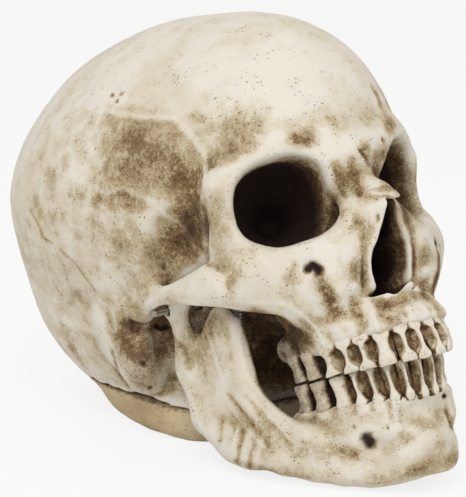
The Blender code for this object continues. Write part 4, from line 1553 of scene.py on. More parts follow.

# The dark paint of these strokes is painted shade in the pits, holes and cracks they sink.
CRANIUM_STROKES = (
    Stroke((112, 112, 143, 117, 175, 118, 191, 136, 204, 153, 206, 170), 0.35, 1.6, worn=0.28),
    Stroke((206, 170, 203, 190, 201, 207, 203, 228, 206, 244), 0.4, 1.5, worn=0.33),
    Stroke((96, 188, 107, 193, 122, 188, 135, 194, 157, 204, 165, 215, 184, 227, 190, 238, 195, 250), 0.3, 1.1,
           SHARP, worn=0.28),
    Stroke((100, 200, 120, 198, 140, 206, 160, 222, 178, 240), -0.38, 3.5, wash=0.14, paint=5),
    Stroke((212, 173, 226, 171, 240, 166, 255, 160), 0.45, 2, worn=0.33),
    Stroke((262, 152, 285, 147, 310, 151, 326, 160), 0.25, 2, worn=0.22),
    Stroke((230, 200, 233, 183, 244, 167, 260, 156, 285, 151, 310, 155, 325, 164, 334, 178, 342, 203, 337, 224,
           321, 238, 301, 247, 281, 249, 260, 245, 244, 233, 234, 219, 230, 200), 0.28, 1.2, SHARP, worn=0.25),
    Stroke((394, 192, 384, 212, 372, 246, 368, 260, 373, 286, 390, 295), 0.25, 1.1, SHARP, worn=0.22),
    Stroke((410, 286), 0.8, 2.2, worn=0.28),
    Stroke((308, 269, 313, 265, 318, 270), -1.8, 2, wash=0.3, dark=0.95, paint=2.1),
    Stroke((303, 266, 309, 280, 319, 283), 0.3, 1.4, worn=0.17),
    Stroke((316, 276, 325, 290, 334, 308), -0.3, 2.5, wash=0.41, paint=3.6),
    Stroke((292, 262, 286, 276), -0.22, 2, wash=0.25, paint=2.6),
    Stroke((378, 216, 378, 219), -0.6, 0.7, wash=0.33, dark=0.7, mirror=False),
    Stroke((335, 165, 339, 180, 345, 196), -0.52, 2.4, wash=0.3, paint=3.2),
    Stroke((352, 160, 356, 176, 360, 190), -0.3, 2.2, wash=0.22, paint=3),
    Stroke((145, 305, 165, 288, 190, 270, 204, 256), 0.3, 1.2, SHARP, worn=0.39),
    Stroke((156, 320, 174, 301, 193, 303, 246, 303, 284, 304), 0.2, 1.1, worn=0.28),
    Stroke((222, 262, 236, 272, 228, 284), -0.38, 3, wash=0.17, paint=4),
    Stroke((205, 262, 216, 280, 222, 296), 0.25, 2, worn=0.17),
    Stroke((290, 306, 303, 315, 315, 326, 324, 340, 328, 355, 331, 370), 0.65, 1.6, SHARP, worn=0.39),
    Stroke((366, 300, 374, 314, 382, 330, 390, 343), 0.65, 1.9, worn=0.33),
    Stroke((352, 296, 356, 314, 362, 330), -0.52, 2.4, wash=0.19, paint=3),
    Stroke((388, 306, 396, 318), -0.6, 2.2, wash=0.22, paint=2.4),
    Stroke((30, 210, 38, 224, 44, 238, 53, 243), -0.3, 0.5, SHARP, wash=0.19, mirror=False),
    Stroke((60, 250, 74, 262, 84, 276, 95, 290), -0.3, 0.5, SHARP, wash=0.19, mirror=False),
    Stroke((112, 95), -0.68, 1.1, wash=0.44, dark=0.25, mirror=False),
    Stroke((121, 94), -0.52, 1, wash=0.39, dark=0.2, mirror=False),
    Stroke((117, 101), -0.68, 1, wash=0.44, dark=0.25, mirror=False),
    Stroke((102, 125, 108, 130), wash=0.19, paint=4, mirror=False),
    Stroke((373, 88, 378, 98, 380, 105), -0.22, 1.6, wash=0.44, paint=2.6, mirror=False),
    Stroke((296, 140, 305, 141), -0.22, 1.8, wash=0.28, paint=2.8, mirror=False),
    Stroke((383, 140), -0.3, 1, wash=0.5, paint=1.6, mirror=False),
    Stroke((360, 150, 365, 157, 369, 165), -0.52, 0.8, wash=0.39, dark=0.2, mirror=False),
    Stroke((62, 332, 72, 348, 86, 368), wash=0.28, paint=3, mirror=False),
    Stroke((78, 296, 84, 306), wash=0.28, paint=3.4),
    Stroke((64, 320, 80, 326, 96, 334), 0.25, 2, worn=0.17),
    Stroke((164, 267), -0.52, 1.3, wash=0.33, paint=1.4),
    Stroke((193, 180, 196, 205, 193, 232, 184, 258, 172, 280), -0.3, 5, wash=0.17, paint=6),
    Stroke((182, 210, 176, 240, 160, 262), wash=0.11, paint=7),
    Stroke((128, 150, 150, 145, 176, 152, 182, 176), wash=0.17, paint=9),
    Stroke((110, 165, 130, 178, 150, 186), wash=0.11, paint=8),
    Stroke((222, 152, 250, 148, 280, 144, 300, 140), wash=0.19, paint=4.5),
    Stroke((120, 250, 140, 262, 150, 280), wash=0.14, paint=8),
    Stroke((100, 226, 120, 240), wash=0.12, paint=6),
    Stroke((118, 322, 124, 340, 130, 362, 136, 384), wash=0.39, paint=6.5),
    Stroke((140, 314, 146, 340, 146, 372), wash=0.33, paint=5),
    Stroke((126, 314, 129, 328, 128, 341), 0.3, 0.9, SHARP, worn=0.3, paint=0.9),
    Stroke((137, 331, 139, 328), -0.6, 0.8, dark=0.8, paint=0.8),
    Stroke((155, 326, 161, 329, 167, 327), -0.8, 0.8, dark=1, paint=1.1),
    Stroke((143, 364), -0.9, 1.1, dark=0.7, paint=1.2),
    Stroke((150, 388), -0.9, 1.1, dark=0.7, paint=1.2),
    Stroke((112, 352, 118, 372, 128, 388), -0.45, 1.6, wash=0.17),
    Stroke((100, 300, 112, 310, 116, 330), 0.25, 2.2, worn=0.17),
)

# The dark paint of these strokes is painted shade in the pits, holes and cracks they sink.
MANDIBLE_STROKES = (
    Stroke((152, 318, 157, 333, 170, 361, 188, 392, 200, 428, 212, 446), 0.35, 1.2, SHARP, worn=0.44),
    Stroke((239, 314, 240, 338, 245, 371, 259, 392, 275, 410, 290, 420), 0.3, 1.2, SHARP, worn=0.33),
    Stroke((205, 322, 211, 345, 219, 372, 228, 392), 0.25, 1.3, worn=0.22),
    Stroke((196, 336, 200, 362, 210, 390), -0.52, 4, wash=0.14, paint=4),
    Stroke((226, 330, 230, 356), -0.3, 2.4, wash=0.11, paint=3),
    Stroke((172, 338, 184, 350, 190, 366), -0.38, 1.6, wash=0.17, paint=2),
    Stroke((222, 396, 240, 420, 262, 447), 0.28, 1, SHARP, worn=0.22),
    Stroke((234, 392, 254, 416, 276, 444), 0.25, 1, SHARP, worn=0.22),
    Stroke((228, 394, 247, 418, 269, 446), -0.38, 1.1, wash=0.14),
    Stroke((246, 396, 264, 416, 290, 446), -0.26, 1.2, wash=0.08),
    Stroke((238, 428, 233, 446, 230, 460), 0.3, 1, SHARP, worn=0.22),
    Stroke((250, 430, 245, 450, 243, 466), 0.3, 1, SHARP, worn=0.22),
    Stroke((263, 438, 258, 454, 257, 470), 0.25, 1, SHARP, worn=0.17),
    Stroke((243, 432, 239, 450, 237, 462), -0.38, 1.2, wash=0.19),
    Stroke((256, 436, 251, 454, 249, 468), -0.38, 1.2, wash=0.17),
    Stroke((222, 420, 220, 440), -0.3, 1.6, wash=0.17, paint=2.4),
    Stroke((367, 438, 370, 443), -2.1, 2.6, wash=0.4, dark=0.85, paint=2.9),
    Stroke((362, 430, 378, 430), 0.25, 1.3, worn=0.22),
    Stroke((344, 452, 356, 454), -0.3, 2.2, wash=0.33, paint=3),
    Stroke((402, 436, 410, 440), -0.22, 2, wash=0.3, paint=2.8),
    Stroke((354, 427), -0.38, 0.6, wash=0.44, paint=0.8, mirror=False),
    Stroke((388, 428), -0.3, 0.5, wash=0.44, paint=0.7, mirror=False),
    Stroke((444, 396), -1.35, 1.1, dark=1, paint=1.2, mirror=False),
    Stroke((446, 412, 449, 420, 451, 427), -0.45, 1, wash=0.44, paint=1.4, mirror=False),
    Stroke((390, 405, 404, 410, 424, 400), -0.45, 2.8, wash=0.08, paint=3),
    Stroke((404, 452, 420, 446, 434, 436), 0.35, 3.2, worn=0.22),
    Stroke((230, 461, 264, 471, 294, 475, 335, 483, 372, 484, 402, 477, 436, 462), wash=0.25, paint=2.6),
    Stroke((300, 425, 325, 428, 345, 424), 0.25, 2.6, worn=0.19),
    Stroke((310, 445, 330, 450), -0.3, 3.4, wash=0.08, paint=4),
    Stroke((291, 412, 312, 413, 336, 409, 358, 403, 389, 400), wash=0.22, paint=1.6),
)

CRANIUM_SMUDGES = (
    Smudge(186, 200, 20, 46, -6, 0.4),
    Smudge(194, 226, 14, 34, 0, 0.3),
    Smudge(152, 152, 46, 34, 10, 0.42),
    Smudge(126, 184, 34, 24, 0, 0.3),
    Smudge(178, 256, 26, 12, -35, 0.1),
    Smudge(122, 232, 50, 34, 20, 0.26),
    Smudge(112, 126, 34, 28, 0, 0.26),
    # These two paint shade on the far side of the vault.
    Smudge(70, 180, 36, 70, 10, 0.12),
    Smudge(40, 180, 34, 90, 0, 0.16),
    Smudge(80, 286, 30, 18, 30, 0.06),
    Smudge(132, 338, 22, 26, -10, 0.55),
    Smudge(148, 366, 18, 28, -10, 0.45),
    Smudge(72, 348, 7, 30, -35, 0.2),
    Smudge(92, 318, 20, 22, 0, -0.2),
    Smudge(243, 128, 25, 36, 25, 0.34),
    Smudge(210, 120, 20, 18, 0, 0.16),
    Smudge(303, 140, 18, 10, 0, 0.5),
    Smudge(222, 222, 16, 40, 0, 0.46),
    Smudge(154, 220, 15, 14, 0, -0.35),
    Smudge(246, 254, 20, 14, 25, 0.24),
    Smudge(226, 276, 18, 14, 0, 0.2),
    Smudge(262, 284, 16, 12, 0, 0.12),
    Smudge(325, 288, 9, 24, -28, 0.55),
    Smudge(298, 272, 11, 10, 0, 0.3),
    Smudge(344, 236, 24, 50, -8, 0.24),
    Smudge(352, 176, 11, 28, -15, 0.34),
    Smudge(338, 192, 7, 20, 0, 0.3),
    Smudge(366, 152, 9, 12, 0, 0.35),
    Smudge(330, 110, 20, 20, 0, 0.1),
    Smudge(384, 306, 22, 12, 20, 0.16),
    Smudge(352, 300, 18, 16, 0, -0.26),
    Smudge(342, 264, 20, 22, 0, 0.3),
    Smudge(302, 340, 16, 20, 0, 0.6),
    Smudge(425, 254, 7, 12, 0, 0.38),
    Smudge(436, 277, 4, 5, 0, 0.4),
    Smudge(427, 293, 8, 13, -35, 0.25),
    # Painted light: lifts the shade that the lamps leave on the far cheek.
    Smudge(430, 238, 13, 15, 0, -0.5),
    # These two paint shade in the far eye socket and in the nose opening.
    Smudge(390, 166, 13, 22, 0, 0.9, 0.2, mirror=False),
    Smudge(405, 192, 14, 36, -10, 0.75, 0.08, mirror=False),
    Smudge(442, 318, 6, 22, -15, 0.4),
    Smudge(174, 300, 18, 10, 0, 0.35),
)

MANDIBLE_SMUDGES = (
    Smudge(204, 322, 26, 16, 0, 0.6),
    Smudge(200, 345, 14, 26, -15, 0.3),
    Smudge(182, 352, 8, 20, -25, 0.35),
    Smudge(256, 434, 22, 26, 0, 0.26),
    Smudge(236, 412, 10, 22, -25, 0.12),
    Smudge(422, 404, 28, 12, -15, -0.22),
    Smudge(345, 410, 40, 9, -10, 0.25),
    Smudge(438, 424, 8, 22, 0, 0.2),
    Smudge(350, 455, 14, 8, 0, 0.26),
    Smudge(405, 437, 9, 7, 0, 0.22),
    Smudge(300, 472, 60, 7, 6, 0.34),
    Smudge(404, 474, 46, 9, -12, 0.34),
    Smudge(308, 436, 34, 22, 0, 0.28),
    Smudge(224, 392, 10, 18, 0, -0.2),
    Smudge(412, 440, 16, 12, 0, -0.1),
)


@dataclass
class Cranium(Casting):
    """The upper casting: vault, face and upper jaw."""

    node: str = "cranium"
    name: str = "cranium_casting"
    body: str = "skull"
    slot: str = "cranium_cast"
    pushes: tuple[Push, ...] = CRANIUM_PUSHES
    strokes: tuple[Stroke, ...] = CRANIUM_STROKES
    smudges: tuple[Smudge, ...] = CRANIUM_SMUDGES
    roots: Roots = Roots(10.0)
    hollow_middle: Spot = (0.0, 20.0, 50.05)
    hollow_radii: Spot = (72.0, 79.5, 56.0)
    tunnel_radius: float = 17.6 * MM
    tunnel_back: float = 19.1 * MM
    tunnel: Span = (15.2 * MM, 80 * MM)
    nose_levels: tuple[float, ...] = (-30, -26, -23, -20, -17, -14, -11, -8, -5, -2, 1, 4, 7, 8.5, 10, 12)
    nose_cast: tuple[float, ...] = (10, 10, 11, 11.5, 11.5, 11.5, 11, 9.7, 9, 7.6, 7, 5.8, 5.2, 5.2, 5.2, 5.2)
    nose_worn: tuple[float, ...] = (10, 8, 8.5, 9.3, 9.6, 9.6, 9.3, 8, 6.6, 5, 3.6, 2.4, 1.7, 1.9, 3.4, 5.2)
    nose_kept: tuple[float, ...] = (0, 0, 0, 0, 0, 0, 0, 0, 0, 0, 0, 0, 1.2, 1.4, 1.6, 2)
    nose_forward: tuple[float, ...] = (0, 3, 6, 5, 4.5, 4.5, 5, 6, 6.3, 7.5, 8.5, 11, 12, 9, 4.5, 0)
    nose_rims: tuple[float, ...] = (-86, -86, -86, -87, -88, -89, -90, -92, -93.5, -95, -96.5, -98, -100, -101,
                                    -102, -103)
    nose_side: float = 13.0
    nose_far: float = 20.0
    nose_reach: Span = (60.0, 76.0)
    nose_fall: float = 1.5
    tip_levels: tuple[float, ...] = (2, 4, 7, 8.5, 10, 12, 14, 16)
    tip_front: tuple[float, ...] = (115, 103.4, 102.8, 102.2, 101.2, 98.8, 97.2, 115)
    tip_round: float = 0.085
    tip_half: float = 9.0
    tip_share: float = 0.5
    tip_band: Span = (5.0, 8.0)
    tip_middle: Span = (-4.5, -2.0)
    lip_drop: float = 1.7
    lip_lift: float = 3.0
    lip_front: Span = (76.0, 86.0)
    lip_level: Span = (33.0, 37.5)
    lip_reach: Span = (30.0, 40.0)
    eased: tuple[tuple[Spot, Spot, int], ...] = (((0.0, -100.0, 8.0), (9.0, 8.0, 5.5), 10),
                                                 ((0.0, -88.0, -27.0), (14.0, 9.0, 4.5), 12))
    orbit_middle: Spot = (29.0, -70.0, 18.5)
    orbit_mouth: Spot = (13.0, -85.0, 18.0)
    orbit_axis: Spot = (-0.634, 0.774, 0.0)
    orbit_facing: Span = (-0.05, 0.35)
    orbit_edge: Span = (-38.0, -30.0)
    orbit_lip: Span = (0.5, 9.0)
    orbit_back: Span = (-80.0, -60.0)
    orbit_side: Span = (17.0, 26.0)
    orbit_full: Span = (0.25, 1.0)
    orbit_shade_dark: Span = (0.8, 0.3)
    orbit_shade_brown: Span = (0.75, 0.4)
    orbit_end: Span = (28.0, 36.0)
    orbit_end_edge: Span = (-46.0, -40.0)
    orbit_end_shade: float = 0.9
    nose_behind: Span = (0.5, 4.0)
    nose_facing: Span = (-0.2, 0.12)
    nose_margin: float = 5.0
    nose_top: float = 10.5
    nose_soft: Span = (0.0, 2.0)
    nose_front: Span = (40.0, 50.0)
    nose_floor: Span = (-31.0, -26.5)
    nose_inner: Span = (3.0, 12.0)
    nose_shade_brown: float = 1.1
    nose_shade_dark: Span = (0.12, 0.62)
    under_level: Span = (2.0, 10.0)
    under_front: Span = (-66.0, -56.0)
    under_back: Span = (-12.0, 4.0)
    under_half: float = 50
    under_soft: Span = (0.0, 6.0)
    under_shade_brown: float = 0.9
    under_shade_dark: float = 0.32
    nape_back: Span = (20.0, 50.0)
    nape_level: Span = (-8.0, 14.0)
    nape_brown: Span = (0.02, 0.2)

    def close_up(self, bm: bmesh.types.BMesh) -> None:
        """Takes out the sealed hollow of the casting and closes its tunnel.

        Args:
            bm: The merged copy of the solid.
        """
        middles = np.array([face.calc_center_median() for face in bm.faces])
        turned = np.array([face.normal for face in bm.faces]) @ TILT.T
        places = upright(middles) - np.array(self.hollow_middle)
        inside = (np.linalg.norm(places / np.array(self.hollow_radii), axis=1) < 1) & ((turned * places).sum(1) < 0)
        ring = np.hypot(middles[:, 0], middles[:, 1] - self.tunnel_back)
        low, high = self.tunnel
        tunnel = (ring < self.tunnel_radius) & (middles[:, 2] > low) & (middles[:, 2] < high)
        bm.faces.ensure_lookup_table()
        gone = [bm.faces[index] for index in np.nonzero(inside | tunnel)[0]]
        bmesh.ops.delete(bm, geom=gone, context="FACES")
        loose = [vert for vert in bm.verts if not vert.link_faces]
        bmesh.ops.delete(bm, geom=loose, context="VERTS")
        bmesh.ops.triangulate(bm, faces=close_holes(bm))

    def form_by_hand(self, work: Carving) -> None:
        """Narrows the nose opening, brings its edges forward and draws the lip over the crowns.

        Args:
            work: The surface.
        """
        x, y, z = upright(work.points).T
        mirrored = np.abs(x)
        edge = np.interp(z, self.nose_levels, self.nose_cast)
        wanted = np.interp(z, self.nose_levels, self.nose_worn)
        kept = np.interp(z, self.nose_levels, self.nose_kept)
        stretched = wanted + (mirrored - edge) * (self.nose_far - wanted) / (self.nose_far - edge)
        shrunk = kept + (mirrored - kept) * (wanted - kept) / (edge - kept)
        narrowed = np.where(mirrored < edge, shrunk, stretched)
        narrowed = np.where((mirrored > kept) & (mirrored < self.nose_far), narrowed, mirrored)
        reach = smooth_step(-y, *self.nose_reach)
        side = np.clip((self.nose_side - narrowed) / (self.nose_side - wanted), 0.0, 1.0) ** self.nose_fall
        side *= 1.0 - self.tip_share * smooth_step(z, *self.tip_band) * smooth_step(-mirrored, *self.tip_middle)
        forward = np.interp(z, self.nose_levels, self.nose_forward) * side * reach
        moved = np.stack(((narrowed - mirrored) * reach * np.sign(x), -forward, np.zeros(len(x))), 1)
        front = smooth_step(-y, *self.lip_front)
        lip = smooth_step(-z + self.lip_lift * front, *self.lip_level) * smooth_step(-y, *self.lip_reach)
        moved[:, 2] -= lip * self.lip_drop
        front_most = self.tip_round * narrowed ** 2 - np.interp(z, self.tip_levels, self.tip_front)
        too_far = np.clip(front_most - (y + moved[:, 1]), 0.0, None)
        moved[:, 1] += np.where(mirrored < self.tip_half, too_far, 0.0)
        work.points += moved @ TILT * MM
        for centre, radii, rounds in self.eased:
            work.ease(centre, radii, rounds)

    def paint_by_hand(self, work: Carving) -> None:
        """Paints shade into the eye sockets, the nose opening and the underside.

        Args:
            work: The surface.
        """
        x, y, z = upright(work.points).T
        mirrored = np.abs(x)
        place = np.stack((mirrored, y, z), 1)
        sided = work.normals @ TILT.T
        sided[:, 0] *= np.sign(x)
        self.paint_orbits(work, place, sided)
        rim = np.interp(z, self.nose_levels, self.nose_rims)
        half = np.interp(z, self.nose_levels, self.nose_worn)
        # Painted shade inside the nose opening, darker further in.
        nose = smooth_step(y - rim, *self.nose_behind) * smooth_step(-sided[:, 0], *self.nose_facing)
        nose *= smooth_step(half + self.nose_margin - mirrored, *self.nose_soft)
        nose *= smooth_step(-y, *self.nose_front)
        nose *= smooth_step(z, *self.nose_floor) * smooth_step(self.nose_top - z, *self.nose_soft)
        deep_in = smooth_step(y - rim, *self.nose_inner)
        work.paint[WashAndShade.BROWN] += nose * self.nose_shade_brown
        work.paint[WashAndShade.DARK] += nose * (self.nose_shade_dark[0] + self.nose_shade_dark[1] * deep_in)
        work.paint[WashAndShade.WORN] *= 1 - nose
        # Painted shade on the underside, behind the jaw.
        under = smooth_step(-z, *self.under_level) * smooth_step(y, *self.under_front)
        under *= smooth_step(-y, *self.under_back) * smooth_step(self.under_half - mirrored, *self.under_soft)
        work.paint[WashAndShade.BROWN] += under * self.under_shade_brown
        work.paint[WashAndShade.DARK] += under * self.under_shade_dark
        nape = smooth_step(y, *self.nape_back) * smooth_step(-z, *self.nape_level)
        even, patchy = self.nape_brown
        work.paint[WashAndShade.BROWN] += nape * (even + patchy * grain(work.points, 12 * MM, 77))

    def paint_orbits(self, work: Carving, place: np.ndarray, sided: np.ndarray) -> None:
        """Paints shade into the eye sockets.

        Args:
            work: The surface.
            place: Its upright points, all on the skull's left side.
            sided: Their normals there.
        """
        to_middle = np.array(self.orbit_middle) - place
        distance = np.linalg.norm(to_middle, axis=1)
        faces_in = (sided * to_middle).sum(1) / (distance + TINY)
        depth = (place - np.array(self.orbit_mouth)) @ np.array(self.orbit_axis)
        # Painted shade in the eye sockets, darkest at their far ends and towards their back and outer walls.
        socket = smooth_step(faces_in, *self.orbit_facing) * smooth_step(-distance, *self.orbit_edge)
        socket *= smooth_step(depth, *self.orbit_lip)
        mottle = grain(work.points, 5 * MM, 31) * 0.5 + 0.5
        away = np.maximum(smooth_step(place[:, 1], *self.orbit_back), smooth_step(place[:, 0], *self.orbit_side))
        deepest_shade = smooth_step(depth, *self.orbit_end) * smooth_step(-distance, *self.orbit_end_edge)
        work.paint[WashAndShade.DARK] += deepest_shade * self.orbit_end_shade
        even, patchy = self.orbit_shade_dark
        work.paint[WashAndShade.DARK] += smooth_step(socket, *self.orbit_full) * (even + patchy * mottle) * away
        work.paint[WashAndShade.BROWN] += socket * (self.orbit_shade_brown[0] + self.orbit_shade_brown[1] * away)
        work.paint[WashAndShade.WORN] *= 1 - socket


@dataclass
class Mandible(Casting):
    """The lower casting: body, angles and rami of the jaw."""

    node: str = "mandible"
    name: str = "mandible_casting"
    body: str = "jaw"
    slot: str = "mandible_cast"
    voxel: float = 0.7 * MM
    patina_and_shade: PatinaAndShade = PatinaAndShade(browning=(0.1, 0.02))
    pushes: tuple[Push, ...] = MANDIBLE_PUSHES
    strokes: tuple[Stroke, ...] = MANDIBLE_STROKES
    smudges: tuple[Smudge, ...] = MANDIBLE_SMUDGES
    roots: Roots = Roots(7.0)
    inner_facing: Span = (0.15, 0.6)
    inner_side: Span = (14.0, 24.0)
    inner_shade_brown: float = 0.7
    inner_shade_dark: float = 0.35
    gum_level: Span = (-70.0, -66.0)
    gum_reach: Span = (36.0, 44.0)
    gum_brown: float = 0.1

    def paint_by_hand(self, work: Carving) -> None:
        """Paints shade on the jaw's faces that turn to the skull's middle, and browns the bone along the gums a
        little.

        Args:
            work: The surface.
        """
        x, y, z = upright(work.points).T
        inward = -(work.normals @ TILT.T)[:, 0] * np.sign(x)
        # Painted shade on the jaw's faces that turn to the skull's middle.
        inner_shade = smooth_step(inward, *self.inner_facing) * smooth_step(np.abs(x), *self.inner_side)
        gum = smooth_step(z, *self.gum_level) * smooth_step(-y, *self.gum_reach)
        work.paint[WashAndShade.BROWN] += inner_shade * self.inner_shade_brown
        work.paint[WashAndShade.DARK] += inner_shade * self.inner_shade_dark
        work.paint[WashAndShade.BROWN] += gum * self.gum_brown


@dataclass
class BasePanel(Casting):
    """The smooth panel that closes the skull below and carries it."""

    node: str = "skull_base"
    name: str = "base_panel"
    body: str = "skull"
    slot: str = "base_cast"
    seam: Span = (12.5, 14.5)
    seam_brown: float = 0.6
    foot: Span = (0.4, 3.0)
    foot_brown: float = 0.3

    def settle_paint(self, work: Carving) -> None:
        """Browns the panel from the seam's height up, and unevenly near the table.

        Args:
            work: The surface.
        """
        height = work.points[:, 2] / MM
        near_table_brown = self.foot_brown + self.foot_brown * grain(work.points, 5 * MM, 12)
        work.paint[WashAndShade.BROWN] += smooth_step(height, *self.seam) * self.seam_brown
        work.paint[WashAndShade.BROWN] += (1 - smooth_step(height, *self.foot)) * near_table_brown

    def make_fine(self, piece: bpy.types.Object) -> None:
        """Cuts the facets of the panel finely and keeps its flat rest face.

        Args:
            piece: The copy of the solid.
        """
        subdivide(piece, 3, "SIMPLE")
        bake(piece)


CARVED_MOLAR: Table = ((0.0, 0.14, 0.26, 0.66, 0.8, 1.0), (1.0, 0.9, 0.46, 0.4, 0.6, 0.96))
PLAIN_MOLAR: Table = ((0.0, 0.2, 0.45, 0.66, 0.8, 1.0), (0.85, 0.74, 0.68, 0.76, 0.9, 0.94))
UPPER_CANINE: Table = ((0.0, 0.18, 0.3, 0.6, 0.8, 1.0), (1.0, 0.96, 0.66, 0.62, 0.92, 1.0))
UPPER_FRONT: Table = ((0.0, 0.15, 0.24, 0.62, 0.74, 0.85, 1.0), (1.0, 0.98, 0.38, 0.26, 0.4, 0.96, 1.0))
LOWER_FRONT: Table = ((0.0, 0.1, 0.25, 0.6, 0.85, 1.0), (0.9, 0.6, 0.34, 0.26, 0.36, 0.6))
UPPER_SQUARE: Table = ((0.0, 0.16, 0.28, 0.74, 0.85, 1.0), (0.35, 0.35, 0.75, 0.75, 0.35, 0.35))
PLAIN_SQUARE: Table = ((0.0, 0.1, 0.25, 1.0), (0.45, 0.5, 0.75, 0.75))
UPPER_COLLAR: Table = ((0.0, 0.2, 0.5), (1.0, 1.0, 0.0))
LOWER_COLLAR: Table = ((0.0, 0.1, 0.24), (1.2, 0.8, 0.0))
SET_BACK: Table = ((0.0, 0.2, 0.45), (1.0, 0.8, 0.0))
DEPTH_SHARES = (0.0, 0.4, 0.75, 1.0)


